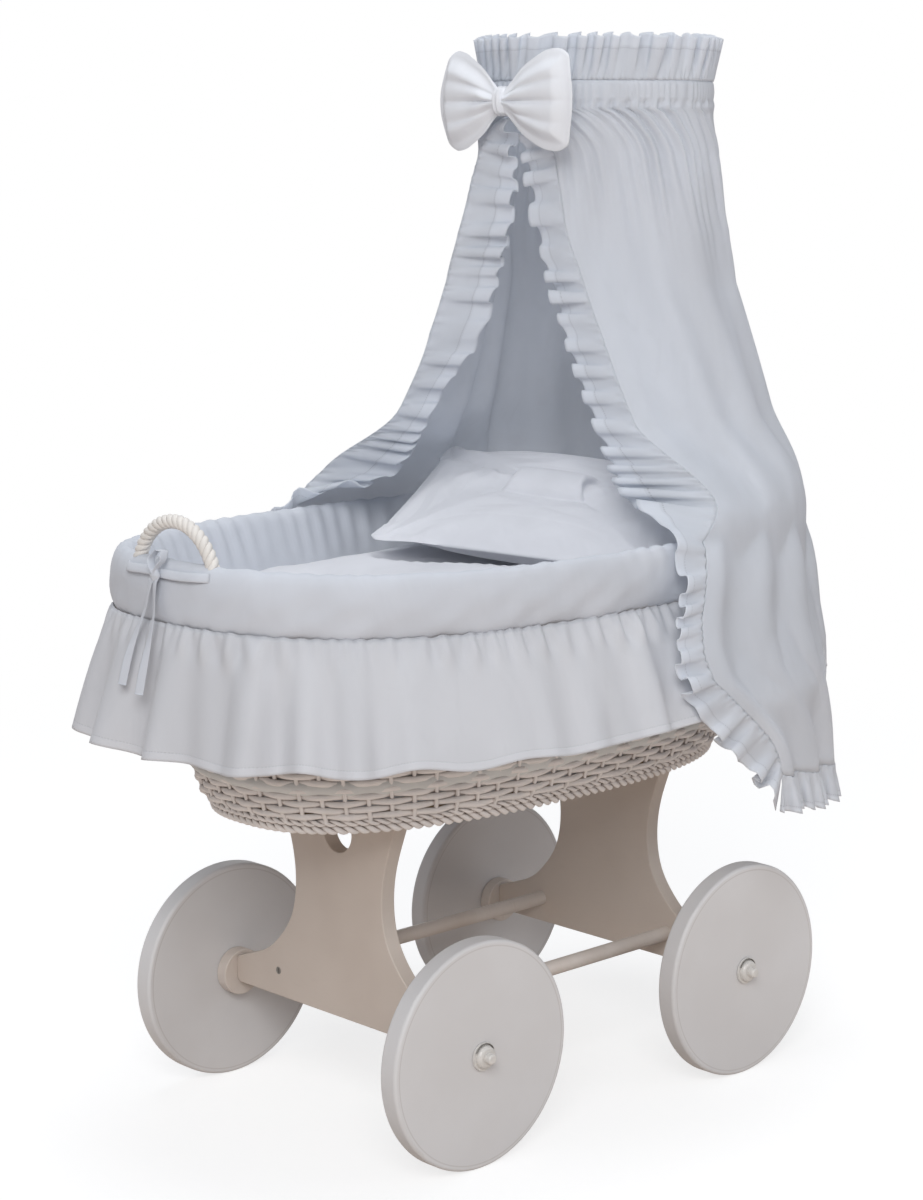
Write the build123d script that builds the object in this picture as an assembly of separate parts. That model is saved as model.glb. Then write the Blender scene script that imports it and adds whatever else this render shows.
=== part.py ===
"""Wicker bassinet on a four-wheeled wooden carriage, with a draped canopy.

Millimetres. X runs along the bassinet towards the canopy end, Y across it, Z up.
The origin is on the floor below the middle of the basket.
Every solid is written to its own STEP file under parts/.
"""
import math
import os

from build123d import *

# Wheels and carriage
WHEEL_R = 130.0          # scale of the whole model: a 260 mm wheel
WHEEL_T = 25.0
WHEEL_EDGE = 4.0
WHEEL_BASE = 442.0
TRACK = 434.0            # between wheel mid planes
CARRIAGE_X = 17.0        # the boards stand a little towards the canopy end
AXLE_D = 8.0
AXLE_CORE_D = 6.0        # threaded end in the wood
AXLE_GRIP = 60.0
AXLE_NUB_D = 12.0
AXLE_NUB_L = 8.0
RUN = 0.05               # radial clearance of a turning or sliding fit
FIT = 0.02               # radial clearance of a fixed pin in its hole
WHEEL_PLAY = 0.5         # side play on each face of a wheel
SPACER_D = 56.0
CAP_FLANGE_D = 32.0
CAP_FLANGE_T = 2.5
CAP_DOME_D = 26.0
CAP_DOME_T = 6.0
CLIP_WIRE_D = 1.4
CLIP_R = 14.6

# End boards and their rods
BOARD_T = 20.0
BOARD_FOOT_Z = 121.0
TIP_HALF = 188.0
TIP_H = 34.0
TIP_ROUND = 8.0
# Waist of a board: how far it stands in from the tip of the foot, and its height above the foot
BOARD_WAIST = [(38, 45), (64, 58), (81, 73), (93, 87), (103, 103), (110.5, 127), (112.5, 147),
               (110.5, 175), (106, 195), (100, 213)]
BOARD_TOP_IN = 83.0      # a board's top corner stands in from the tip of its foot
BOARD_ROUND = 1.5
GRIP_R = 24.0
GRIP_Z = 342.0
ROD_D = 18.0
ROD_Y = 109.0
ROD_Z = 152.0
ROD_SCREW_D = 5.0
ROD_SCREW_L = 62.0
ROD_SCREW_HEAD_D = 9.0
ROD_SCREW_HEAD_T = 3.0

# Basket: outer ovals as height, half length, half width
BASKET_Z = 384.0
BASKET_TOP_Z = 662.0
OVAL_N = 2.5
BASKET_OVALS = [(BASKET_Z, 352, 177), (BASKET_Z + 16, 366, 190), (BASKET_Z + 96, 393, 212),
                (BASKET_TOP_Z, 440, 262)]
BASKET_WALL = 8.0
BASE_T = 6.0
BASE_GAP = 6.0
BASKET_SCREW_D = 5.0
BASKET_SCREW_L = 44.0
BASKET_SCREW_Y = 55.0
HANDLE_D = 12.0
HANDLE_HALF = 67.0
HANDLE_RISE = 61.0
HANDLE_SEAT = 0.3        # the handles' feet stand this far above the woven edge

# Fabric on the basket
LINER_T = 3.0
LINER_GAP = 0.5
BAND_H = (-54, -44, -22, -6, 5, 11)          # heights of the band's ovals from the woven edge
BAND_OVALS = [(BASKET_TOP_Z + h, a, b) for h, (a, b) in zip(BAND_H, (
    (455, 263), (457.5, 268), (458, 272), (456, 271), (450, 266), (441, 258)))]
SKIRT_SEAM_GAP = 0.3
SKIRT_DROP = 124.7
SKIRT_T = 3.0
SKIRT_FOOT_FLARE = 48.0
SKIRT_SIDE_FLARE = 58.0
SKIRT_TUCK = 14.0        # how far the canopy holds the skirt in at the canopy end
BINDING_T = 1.5
BINDING_GAP = {"foot": 0.8, "head": 1.5}     # to the flat of the band at each end
BINDING_H = 11.0
BINDING_HALF = 71.0
BINDING_Z = BASKET_TOP_Z - 0.5
TIE_D = 4.0
MATTRESS_T = 70.0
DUVET_TOP_Z = 632.0
SOFT_GAP = 0.6
PILLOW = (330.0, 390.0, 92.0)
PILLOW_AT = (130.0, -14.0, 694.0)
PILLOW_TURN = 28.0
PILLOW_TILT = -12.7

# Canopy: rod, hoop and cloth
POLE_D = 12.0
POLE_X = 468.0
POLE_FOOT_Z = 406.0
POLE_BENDS = [(468, 700), (437, 880), (388, 1020), (340, 1158)]
HOOP_X = 209.0
HOOP_Z = 1179.0
HOOP_R = 133.0
HOOP_WIRE_D = 6.0
BRACKET_W = 40.0
BRACKET_Z = (400.0, 476.0)
BRACKET_GAP = 1.3
BRACKET_OUT_X = 481.0
KNOB_D = 22.0
CLOTH_T = 3.0
CHANNEL_GAP = 0.8
# Height, then the outline from the front round to the back, mirrored across the middle
channel_r = HOOP_R + HOOP_WIRE_D / 2 + CHANNEL_GAP + CLOTH_T
round_hoop = [(HOOP_X - channel_r * math.cos(math.radians(v)), channel_r * math.sin(math.radians(v)))
              for v in (0, 24, 46, 90, 134, 180)]
CANOPY = [
    (1190, *round_hoop),
    (1165, *round_hoop),
    (1100, (66, 0), (78, 46), (96, 62), (209, 142), (325, 112), (372, 0)),
    (1025, (50, 0), (66, 50), (99, 63), (215, 144), (340, 118), (399, 0)),
    (970, (35, 0), (48, 62), (105, 77), (222, 150), (355, 128), (418, 0)),
    (890, (10, 0), (30, 82), (110, 108), (232, 172), (375, 142), (442, 0)),
    (780, (-30, 0), (-5, 142), (112, 166), (240, 212), (395, 166), (466, 0)),
    (715, (-55, 0), (-14, 204), (113, 208), (245, 236), (405, 180), (478, 0)),
    (665, (-85, 0), (-45, 280), (90, 286), (250, 270), (415, 188), (485, 0)),
    (600, (-100, 0), (-60, 298), (60, 308), (255, 290), (425, 205), (489, 0)),
    (480, (-100, 0), (-60, 326), (110, 328), (265, 314), (435, 226), (498, 0)),
    (388, (-100, 0), (-60, 330), (160, 330), (280, 316), (440, 231), (501, 0)),
]
HEM_Z = 345.0
HEM_FLARE = 5.0
MOUTH_TOP_Z = 1160.0
# Seams where the cloth ends and the side frills begin
SEAM_NEAR = [(83, -51, 1146), (87, -53, 1108), (99, -62, 1025), (105, -76, 972), (110, -106, 886),
             (112, -165, 780), (112, -207, 715), (102, -244, 691), (90, -284, 665), (74, -300, 627), (58, -309, 593),
             (52, -317, 555), (62, -322, 522), (88, -324, 500), (126, -326, 467), (160, -328, 436),
             (176, -329, 410), (180, -329, 388)]
FRILL_NEAR = [(68, -10, 1146), (74, -12, 1100), (86, -18, 1025), (88, -34, 972), (90, -68, 886),
              (90, -122, 780), (88, -166, 715), (64, -232, 700), (48, -280, 676), (34, -304, 627), (16, -314, 593),
              (8, -322, 555), (14, -328, 515), (40, -331, 478), (80, -334, 436), (115, -336, 405),
              (140, -337, 380), (160, -337, 352)]
SEAM_FAR = [(77, 39, 1146), (78, 40, 1083), (67, 45, 1037), (47, 60, 964), (33, 79, 893),
            (10, 114, 830), (-5, 137, 780), (-14, 197, 715), (-30, 236, 690), (-45, 272, 667),
            (-60, 298, 600),
            (-60, 315, 550), (-40, 323, 510), (10, 327, 470), (50, 329, 430), (60, 330, 388)]
FRILL_FAR = [(67, 4, 1146), (80, 8, 1075), (83, 16, 1037), (72, 28, 964), (60, 45, 893),
             (38, 84, 830), (24, 108, 780), (12, 164, 715), (-8, 208, 704), (-44, 262, 692),
             (-104, 292, 625),
             (-106, 310, 550), (-84, 326, 495), (-34, 332, 440), (5, 335, 400), (30, 336, 352)]
FRILL_T = 4.0
SEAM_GAP_NEAR = 3.0
SEAM_GAP_FAR = 4.6
HEADER_Z = (1190.4, 1243.0)
HEADER_FLARE = 9.0
BOW_X = 51.0
BOW_Z = 1166.0
BOW_HALF_W = 107.0
BOW_H = 116.0
BOW_T = 30.0
KNOT = (34.0, 26.0, 34.0)

os.makedirs("parts", exist_ok=True)


def save(solid, node):
    """Write one node to its own file."""
    solid.label = node
    export_step(solid, f"parts/{node}.step")


def oval_points(a, b, n=OVAL_N, count=20):
    """Points of a rounded oval; n above 2 squares its shoulders."""
    out = []
    for i in range(count):
        t = 2 * math.pi * i / count
        c, s = math.cos(t), math.sin(t)
        out.append((math.copysign(a * abs(c) ** (2 / n), c), math.copysign(b * abs(s) ** (2 / n), s)))
    return out


def ring(points, z):
    """Closed smooth curve through plan points at one height."""
    return Wire([Edge.make_spline([Vector(x, y, z) for x, y in points], periodic=True)])


def stack(levels):
    """Solid that runs through plan outlines given as height and points."""
    return Solid.make_loft([ring(points, z) for z, points in levels], ruled=True)


def ovals(table, grow=0.0):
    """Levels from a table of heights and half sizes, each grown outwards by the same amount."""
    return [(z, oval_points(a + grow, b + grow)) for z, a, b in table]


def at_height(table, z):
    """Half length and half width of a table of ovals at one height."""
    for (z0, a0, b0), (z1, a1, b1) in zip(table, table[1:]):
        if z0 <= z <= z1:
            t = (z - z0) / (z1 - z0)
            return a0 + (a1 - a0) * t, b0 + (b1 - b0) * t
    return table[-1][1:] if z > table[-1][0] else table[0][1:]


def bar(points, d, ease=0.45):
    """Round bar of diameter d along straight runs joined by tangent arcs."""
    pts = [Vector(*p) for p in points]
    radii = []
    for a, b, c in zip(pts, pts[1:], pts[2:]):
        turn = math.radians((b - a).get_angle(c - b))
        radii.append(ease * min((b - a).length, (c - b).length) / math.tan(turn / 2))
    path = FilletPolyline(*pts, radius=radii) if radii else Line(*pts)
    return sweep(Plane(origin=path @ 0, z_dir=path % 0) * Circle(d / 2), path=path)


def ribbon(seam, free, t, gap):
    """Strip of cloth of thickness t from a gap beyond a seam to its free edge, level by level."""
    wires = []
    for s, f in zip(seam, free):
        s, f = Vector(*s), Vector(*f)
        across = (f - s).normalized()
        s += across * gap
        along = Vector(0, 0, 1)
        side = across.cross(along).normalized() * (t / 2)
        wires.append(Wire.make_polygon([s + side, f + side, f - side, s - side], close=True))
    return Solid.make_loft(wires, ruled=True)


def basket_outer(z_low, z_high, grow):
    """The basket's outer shape between two heights, grown by an amount (negative shrinks)."""
    heights = [z_low] + [z for z, _, _ in BASKET_OVALS if z_low < z < z_high] + [z_high]
    return stack([(z, oval_points(*(v + grow for v in at_height(BASKET_OVALS, z)))) for z in heights])


# End boards
board_top_half = TIP_HALF - BOARD_TOP_IN
side = [Vector(0, TIP_HALF - TIP_ROUND, BOARD_FOOT_Z + TIP_H)]
side += [Vector(0, TIP_HALF - inset, BOARD_FOOT_Z + height) for inset, height in BOARD_WAIST]
side += [Vector(0, board_top_half, BASKET_Z)]


def board_half(sign):
    """Edges of one side of a board, from the foot's underside up to the top."""
    low, high = BOARD_FOOT_Z, BOARD_FOOT_Z + TIP_H
    inner, outer = sign * (TIP_HALF - TIP_ROUND), sign * TIP_HALF
    k = TIP_ROUND * (1 - math.sqrt(0.5))
    return [
        ThreePointArc((0, inner, low), (0, outer - sign * k, low + k), (0, outer, low + TIP_ROUND)),
        Line((0, outer, low + TIP_ROUND), (0, outer, high - TIP_ROUND)),
        ThreePointArc((0, outer, high - TIP_ROUND), (0, outer - sign * k, high - k), (0, inner, high)),
        Spline(*[(0, sign * v.Y, v.Z) for v in side]),
    ]


def end_board(x_mid):
    """Waisted board that carries the basket; its feet take the axles in their end grain."""
    low = BOARD_FOOT_Z
    outline = Wire(board_half(1) + board_half(-1) + [
        Line((0, -(TIP_HALF - TIP_ROUND), low), (0, TIP_HALF - TIP_ROUND, low)),
        Line((0, -board_top_half, BASKET_Z), (0, board_top_half, BASKET_Z))])
    face = Face(outline).moved(Location((x_mid - BOARD_T / 2, 0, 0)))
    board = extrude(face, amount=BOARD_T, dir=(1, 0, 0))
    board -= Pos(x_mid, 0, GRIP_Z) * Rot(0, 90, 0) * Cylinder(GRIP_R, BOARD_T * 2)
    rims = [e for e in board.edges() if e.length > 30 and e.bounding_box().size.X < 0.01
            and e.center().Z < BASKET_Z - 1]
    board = fillet(rims, BOARD_ROUND)
    for y in (-1, 1):
        bore = Rot(90, 0, 0) * Cylinder(AXLE_CORE_D / 2 + FIT, AXLE_GRIP + 4)
        board -= Pos(x_mid, y * (TIP_HALF - AXLE_GRIP / 2 + 1), WHEEL_R) * bore
        board -= Pos(x_mid, y * ROD_Y, ROD_Z) * Rot(0, 90, 0) * Cylinder(ROD_SCREW_D / 2 + FIT, BOARD_T * 2)
        out_x = x_mid + math.copysign(BOARD_T / 2, x_mid - CARRIAGE_X)
        seat = Cylinder(ROD_SCREW_HEAD_D / 2 + FIT, ROD_SCREW_HEAD_T * 2)
        board -= Pos(out_x, y * ROD_Y, ROD_Z) * Rot(0, 90, 0) * seat
        board -= Pos(x_mid, y * BASKET_SCREW_Y, BASKET_Z) * Cylinder(BASKET_SCREW_D / 2 + FIT, 72)
    return board


ends = {"foot": CARRIAGE_X - WHEEL_BASE / 2, "head": CARRIAGE_X + WHEEL_BASE / 2}
for name, x in ends.items():
    save(end_board(x), f"end_board_{name}")

# Rods between the boards, held by a screw through each board
rod_length = WHEEL_BASE - BOARD_T
for name, y in (("near", -ROD_Y), ("far", ROD_Y)):
    rod = Rot(0, 90, 0) * Cylinder(ROD_D / 2, rod_length)
    for s in (-1, 1):
        depth = ROD_SCREW_L - BOARD_T + 2
        rod -= Pos(s * (rod_length - depth) / 2, 0, 0) * Rot(0, 90, 0) * Cylinder(
            ROD_SCREW_D / 2 + FIT, depth)
    save(Pos(CARRIAGE_X, y, ROD_Z) * rod, f"rod_{name}")
    for end, x in ends.items():
        out = math.copysign(1, x - CARRIAGE_X)
        tip = x + out * (BOARD_T / 2)
        shank = Pos(tip - out * ROD_SCREW_L / 2, 0, 0) * Rot(0, 90, 0) * Cylinder(
            ROD_SCREW_D / 2, ROD_SCREW_L)
        head = Pos(tip - out * ROD_SCREW_HEAD_T / 2, 0, 0) * Rot(0, 90, 0) * Cylinder(
            ROD_SCREW_HEAD_D / 2, ROD_SCREW_HEAD_T)
        slot = Pos(tip, 0, 0) * Box(1.6, 1.2, 6)
        save(Pos(0, y, ROD_Z) * (shank + head - slot), f"rod_screw_{end}_{name}")

# Wheels, each on a shouldered bolt with a spacer behind it and a cap in front
inner_y = TRACK / 2 - WHEEL_T / 2
outer_y = TRACK / 2 + WHEEL_T / 2
cap_y = outer_y + WHEEL_PLAY
nub_y = cap_y + CAP_FLANGE_T + CAP_DOME_T
for end, x in ends.items():
    for name, s in (("near", -1), ("far", 1)):
        place = Pos(x, 0, WHEEL_R) * Rot(-90 * s, 0, 0)      # local +Z points out of the wheel

        disc = Pos(0, 0, TRACK / 2) * Cylinder(WHEEL_R, WHEEL_T)
        disc = fillet(disc.edges(), WHEEL_EDGE)
        disc -= Pos(0, 0, TRACK / 2) * Cylinder(AXLE_D / 2 + RUN, WHEEL_T * 2)
        save(place * disc, f"wheel_{end}_{name}")

        thick = inner_y - WHEEL_PLAY - TIP_HALF
        spacer = Pos(0, 0, TIP_HALF + thick / 2) * Cylinder(SPACER_D / 2, thick)
        spacer = fillet(spacer.edges(), 1.5)
        spacer -= Pos(0, 0, TIP_HALF) * Cylinder(AXLE_D / 2 + FIT, thick * 4)
        save(place * spacer, f"spacer_{end}_{name}")

        bolt = Pos(0, 0, (TIP_HALF + nub_y) / 2) * Cylinder(AXLE_D / 2, nub_y - TIP_HALF)
        bolt += Pos(0, 0, TIP_HALF - AXLE_GRIP / 2) * Cylinder(AXLE_CORE_D / 2, AXLE_GRIP)
        nub = Pos(0, 0, nub_y + AXLE_NUB_L / 2) * Cylinder(AXLE_NUB_D / 2, AXLE_NUB_L)
        bolt += fillet(nub.edges().sort_by(Axis.Z)[-1], 2.5)
        save(place * bolt, f"axle_bolt_{end}_{name}")

        cap = Pos(0, 0, cap_y + CAP_FLANGE_T / 2) * Cylinder(CAP_FLANGE_D / 2, CAP_FLANGE_T)
        dome = Pos(0, 0, cap_y + CAP_FLANGE_T + CAP_DOME_T / 2) * Cylinder(CAP_DOME_D / 2, CAP_DOME_T)
        cap += fillet(dome.edges().sort_by(Axis.Z)[-1], 4.5)
        cap -= Pos(0, 0, cap_y) * Cylinder(AXLE_D / 2 + FIT, 40)
        save(place * cap, f"hub_cap_{end}_{name}")

        clip_z = cap_y + CAP_FLANGE_T + CLIP_WIRE_D / 2
        clip = Pos(0, 0, clip_z) * Torus(CLIP_R, CLIP_WIRE_D / 2)
        keep = Pos(0, -s * CLIP_R, clip_z) * Box(CLIP_R * 2.4, CLIP_R * 1.1, 8)
        save(place * (clip & keep), f"hub_clip_{end}_{name}")

# Woven basket
basket = basket_outer(BASKET_Z, BASKET_TOP_Z, 0) - basket_outer(
    BASKET_Z + BASKET_WALL, BASKET_TOP_Z + 0.01, -BASKET_WALL)
floor_z = BASKET_Z + BASKET_WALL
for x in ends.values():
    for y in (-BASKET_SCREW_Y, BASKET_SCREW_Y):
        basket -= Pos(x, y, BASKET_Z) * Cylinder(BASKET_SCREW_D / 2 + FIT, 40)

# Bracket on the outside of the wicker, with a blind bore that the rod stands in
low_z, high_z = BRACKET_Z
corners = [(at_height(BASKET_OVALS, z)[0] + BRACKET_GAP, z) for z in (low_z, high_z)]
corners += [(BRACKET_OUT_X, high_z), (BRACKET_OUT_X, low_z)]
profile = Face(Wire.make_polygon([Vector(x, -BRACKET_W / 2, z) for x, z in corners], close=True))
bracket = extrude(profile, amount=BRACKET_W, dir=(0, 1, 0))
bracket = fillet(bracket.edges().filter_by(Axis.Z).group_by(Axis.X)[-1], 9)
bore_h = BRACKET_Z[1] - POLE_FOOT_Z + 10
bracket -= Pos(POLE_X, 0, POLE_FOOT_Z + bore_h / 2) * Cylinder(POLE_D / 2 + RUN, bore_h)
knob_z = BRACKET_Z[1] - 20
bracket -= Pos(POLE_X, -BRACKET_W / 4 - 4, knob_z) * Rot(90, 0, 0) * Cylinder(3 + FIT, BRACKET_W / 2 + 8)
save(bracket, "pole_bracket")
knob = Pos(POLE_X, -BRACKET_W / 2 - 7, knob_z) * Rot(90, 0, 0) * Cylinder(KNOB_D / 2, 10)
knob = fillet(knob.edges(), 2)
stem = BRACKET_W / 2 + 2 - POLE_D / 2 - 0.4
knob += Pos(POLE_X, -BRACKET_W / 2 - 2 + stem / 2, knob_z) * Rot(90, 0, 0) * Cylinder(3, stem)
save(knob, "pole_knob")
save(basket, "basket")

a, b = at_height(BASKET_OVALS, floor_z)
shrink = BASKET_WALL + BASE_GAP
base = extrude(Face(ring(oval_points(a - shrink, b - shrink), floor_z)), amount=BASE_T, dir=(0, 0, 1))
for end, x in ends.items():
    for name, y in (("near", -BASKET_SCREW_Y), ("far", BASKET_SCREW_Y)):
        base -= Pos(x, y, floor_z) * Cylinder(BASKET_SCREW_D / 2 + FIT, 40)
        seat = floor_z + BASE_T
        base -= Pos(x, y, seat) * Cylinder(ROD_SCREW_HEAD_D / 2 + FIT, ROD_SCREW_HEAD_T * 2)
        screw = Pos(x, y, seat - BASKET_SCREW_L / 2) * Cylinder(BASKET_SCREW_D / 2, BASKET_SCREW_L)
        screw += Pos(x, y, seat - ROD_SCREW_HEAD_T / 2) * Cylinder(
            ROD_SCREW_HEAD_D / 2, ROD_SCREW_HEAD_T)
        save(screw, f"basket_screw_{end}_{name}")
save(base, "base_board")

# Twisted handles that rise out of both short sides
handle_x = BASKET_OVALS[-1][1] - BASKET_WALL / 2
handle_foot_z = BASKET_TOP_Z + HANDLE_SEAT
for name, s in (("foot", -1), ("head", 1)):
    at = s * handle_x
    arch = ThreePointArc((at, -HANDLE_HALF, handle_foot_z), (at, 0, handle_foot_z + HANDLE_RISE),
                         (at, HANDLE_HALF, handle_foot_z))
    save(sweep(Plane(origin=arch @ 0, z_dir=arch % 0) * Circle(HANDLE_D / 2), path=arch),
         f"handle_{name}")

# Liner: inside wall, padded roll over the rim and outside band
hug = BASKET_WALL + LINER_GAP
inner_z = floor_z + BASE_T + 2
band = stack(ovals(BAND_OVALS))
band -= basket_outer(BAND_OVALS[0][0] - 5, BASKET_TOP_Z, LINER_GAP)
wall = basket_outer(inner_z, BASKET_TOP_Z + 4, -hug)
liner = band + wall
liner -= basket_outer(inner_z - 1, BAND_OVALS[-1][0] + 2, -hug - LINER_T)
for s in (-1, 1):
    for y in (-HANDLE_HALF, HANDLE_HALF):
        liner -= Pos(s * handle_x, y, handle_foot_z) * Box(HANDLE_D + 4, HANDLE_D + 6, 40)
save(liner, "liner")

# Skirt gathered onto the lower edge of the band
def skirt_outline(t, grow):
    """Outline of the skirt, t = 0 at its seam and 1 at its hem."""
    a, b = BAND_OVALS[0][1] + 2.5, BAND_OVALS[0][2] + 1.5
    out = []
    for x, y in oval_points(1, 1, count=24):
        length = a + (SKIRT_FOOT_FLARE if x < 0 else 1.5) * t + grow
        width = b + SKIRT_SIDE_FLARE * t + grow
        tuck = SKIRT_TUCK * t * min(1, max(0, x * 4)) * abs(y)
        out.append((x * length, y * width - math.copysign(tuck, y)))
    return out


steps = [0, 0.2, 0.45, 0.75, 1]
skirt_top_z = BAND_OVALS[0][0] - SKIRT_SEAM_GAP
spread = [(skirt_top_z - SKIRT_DROP * t, t ** 0.8) for t in steps]
skirt = stack([(z, skirt_outline(t, 0)) for z, t in spread])
skirt -= stack([(z, skirt_outline(t, -SKIRT_T)) for z, t in spread])
save(skirt, "skirt")

# Cloth bindings round the handle slots, on the band just outside each handle
for name, s in (("foot", -1), ("head", 1)):
    strip_x = BAND_OVALS[3][1] + BINDING_T / 2 + BINDING_GAP[name]
    strip = Pos(s * strip_x, 0, BINDING_Z) * Box(BINDING_T, 2 * BINDING_HALF, BINDING_H)
    save(strip, f"slot_binding_{name}")

# Tie that closes the slot at the foot end: knot and two hanging ends
tie_x = -(BAND_OVALS[3][1] + BINDING_GAP["foot"] + BINDING_T + 3.4)
knot = Pos(tie_x, 0, BINDING_Z) * Box(6, 14, 14)
knot = fillet(knot.edges(), 2)
for y, fall, out in ((26, 101.5, -27), (-10, 113.5, -31)):
    tail = bar([(tie_x, y * 0.12, BINDING_Z - 4), (tie_x - 5, y * 0.5, BINDING_Z - 41.5),
                (tie_x + out, y, BINDING_Z - fall)], TIE_D)
    knot += tail
save(knot, "tie_foot")

# Mattress, folded duvet and pillow
mat_z = floor_z + BASE_T + SOFT_GAP
mat_top = mat_z + MATTRESS_T
inset = hug + LINER_T + SOFT_GAP
mattress = stack([(z, oval_points(*(v - inset for v in at_height(BASKET_OVALS, z))))
                  for z in (mat_z, 430, mat_top)])
save(mattress, "mattress")
duvet_z = mat_top + SOFT_GAP
room = [(duvet_z, 14), (duvet_z + 30, 4), (585, 4), (607, 20), (622, 52), (DUVET_TOP_Z, 110)]
duvet = stack([(z, oval_points(*(v - inset - g for v in at_height(BASKET_OVALS, z)))) for z, g in room])
half_x, half_y, half_z = (v / 2 for v in PILLOW)
shape = [(-1, 0.62), (-0.72, 0.84), (-0.35, 0.96), (0, 1), (0.35, 0.96), (0.72, 0.84), (1, 0.62)]
place = Pos(*PILLOW_AT) * Rot(0, 0, PILLOW_TURN) * Rot(0, PILLOW_TILT, 0)


def cushion(grow):
    """The pillow's outer shape, grown by an amount on every side."""
    return place * stack([((half_z + grow) * h, oval_points(half_x * g + grow, half_y * g + grow, 3.5))
                          for h, g in shape])


save(cushion(0), "pillow")
save(duvet - cushion(SOFT_GAP), "duvet")

# Canopy rod and hoop
pole = bar([(POLE_X, 0, POLE_FOOT_Z)] + [(x, 0, z) for x, z in POLE_BENDS], POLE_D)
save(pole, "canopy_pole")
hoop = Pos(HOOP_X, 0, HOOP_Z) * Torus(HOOP_R, HOOP_WIRE_D / 2)
save(hoop, "canopy_hoop")
clamp = Pos(HOOP_X + HOOP_R - 4, 0, (POLE_BENDS[-1][1] + HOOP_Z) / 2 + 2) * Box(
    12, 18, HOOP_Z - POLE_BENDS[-1][1] + 14)
clamp = fillet(clamp.edges().filter_by(Axis.Z), 3)
save(clamp - hoop - pole, "hoop_clamp")


# Canopy cloth
def canopy_outline(row, grow):
    """One closed outline of the canopy, mirrored from its listed half and grown outwards."""
    half = row[1:]
    full = list(half) + [(x, -y) for x, y in reversed(half[1:-1])]
    cx = sum(p[0] for p in full) / len(full)
    out = []
    for x, y in full:
        r = math.hypot(x - cx, y)
        out.append((cx + (x - cx) * (1 + grow / r), y * (1 + grow / r)))
    return out


cloth = stack([(row[0], canopy_outline(row, 0)) for row in CANOPY])
cloth -= stack([(row[0], canopy_outline(row, -CLOTH_T)) for row in CANOPY])


def mouth(seam, sign):
    """Block that clears the open front of the canopy on one side of its middle."""
    line = [(x, z) for x, _, z in seam]
    line[0] = (line[0][0], MOUTH_TOP_Z)
    pts = [(-400, MOUTH_TOP_Z)] + line + [(line[-1][0], 300), (-400, 300)]
    face = Face(Wire.make_polygon([Vector(x, 0, z) for x, z in pts], close=True))
    return extrude(face, amount=500, dir=(0, sign, 0))


canopy = cloth - mouth(SEAM_NEAR, -1) - mouth(SEAM_FAR, 1)
save(canopy, "canopy")
save(ribbon(SEAM_NEAR, FRILL_NEAR, FRILL_T, SEAM_GAP_NEAR), "frill_near")
save(ribbon(SEAM_FAR, FRILL_FAR, FRILL_T, SEAM_GAP_FAR), "frill_far")

# Frill along the canopy's lower edge
low = CANOPY[-1]
hem_levels = ((low[0] - 0.4, 0), (HEM_Z, HEM_FLARE))
hem = stack([(z, canopy_outline(low, g)) for z, g in hem_levels])
hem -= stack([(z, canopy_outline(low, g - CLOTH_T)) for z, g in hem_levels])
cut_near, cut_far = SEAM_NEAR[-1][0] + 3, SEAM_FAR[-1][0] + 3
hem -= Pos(-500 + cut_near, -250, HEM_Z) * Box(1000, 500, 200)
hem -= Pos(-500 + cut_far, 250, HEM_Z) * Box(1000, 500, 200)
save(hem, "frill_hem")

# Standing frill above the hoop
top = CANOPY[0]
header_levels = ((HEADER_Z[0], 0), (HEADER_Z[1], HEADER_FLARE))
header = stack([(z, canopy_outline(top, g)) for z, g in header_levels])
header -= stack([(z, canopy_outline(top, g - CLOTH_T)) for z, g in header_levels])
save(header, "frill_header")

# Padded bow on the front of the hoop
for name, s in (("near", -1), ("far", 1)):
    levels = []
    for t, h, d in ((0.0, 0.26, 0.5), (0.25, 0.6, 0.85), (0.55, 0.9, 1.0), (0.85, 0.98, 0.8), (1.0, 0.8, 0.3)):
        y = s * (KNOT[1] / 2 + 0.3 + (BOW_HALF_W - KNOT[1] / 2) * t)
        w, d = BOW_H * h / 2, BOW_T * d / 2
        pts = [Vector(BOW_X + d * math.cos(u) * abs(math.cos(u)) ** -0.3,
                      y, BOW_Z + w * math.sin(u) * abs(math.sin(u)) ** -0.3)
               for u in [math.pi * (k + 0.5) / 12 for k in range(24)]]
        levels.append(Wire([Edge.make_spline(pts, periodic=True)]))
    save(Solid.make_loft(levels, ruled=True), f"bow_{name}")
knot_box = Pos(HOOP_X - channel_r - 0.3 - KNOT[0] / 2, 0, BOW_Z) * Box(*KNOT)
save(fillet(knot_box.edges(), 6), "bow_knot")
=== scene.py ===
"""Wicker bassinet with a draped canopy on a four-wheeled wooden carriage.

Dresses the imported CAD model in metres: X runs towards the canopy end, Y across, Z up.
"""
import math

import bmesh
import bpy
import numpy as np
from mathutils import Matrix, Vector


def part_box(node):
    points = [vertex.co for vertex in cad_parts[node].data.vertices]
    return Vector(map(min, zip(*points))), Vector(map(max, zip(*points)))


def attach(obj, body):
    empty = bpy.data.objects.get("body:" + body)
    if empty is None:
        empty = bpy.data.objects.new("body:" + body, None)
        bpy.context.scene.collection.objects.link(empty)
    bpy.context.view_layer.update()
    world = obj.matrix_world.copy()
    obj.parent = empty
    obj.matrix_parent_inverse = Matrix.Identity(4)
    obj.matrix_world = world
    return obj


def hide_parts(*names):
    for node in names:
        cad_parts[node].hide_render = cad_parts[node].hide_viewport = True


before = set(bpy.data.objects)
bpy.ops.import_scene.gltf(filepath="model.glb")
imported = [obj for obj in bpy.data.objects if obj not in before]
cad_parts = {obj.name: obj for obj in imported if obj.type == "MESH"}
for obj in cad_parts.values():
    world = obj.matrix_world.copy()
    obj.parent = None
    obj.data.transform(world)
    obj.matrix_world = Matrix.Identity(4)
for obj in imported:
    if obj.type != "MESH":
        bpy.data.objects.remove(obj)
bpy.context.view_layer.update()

MM = 0.001

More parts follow.
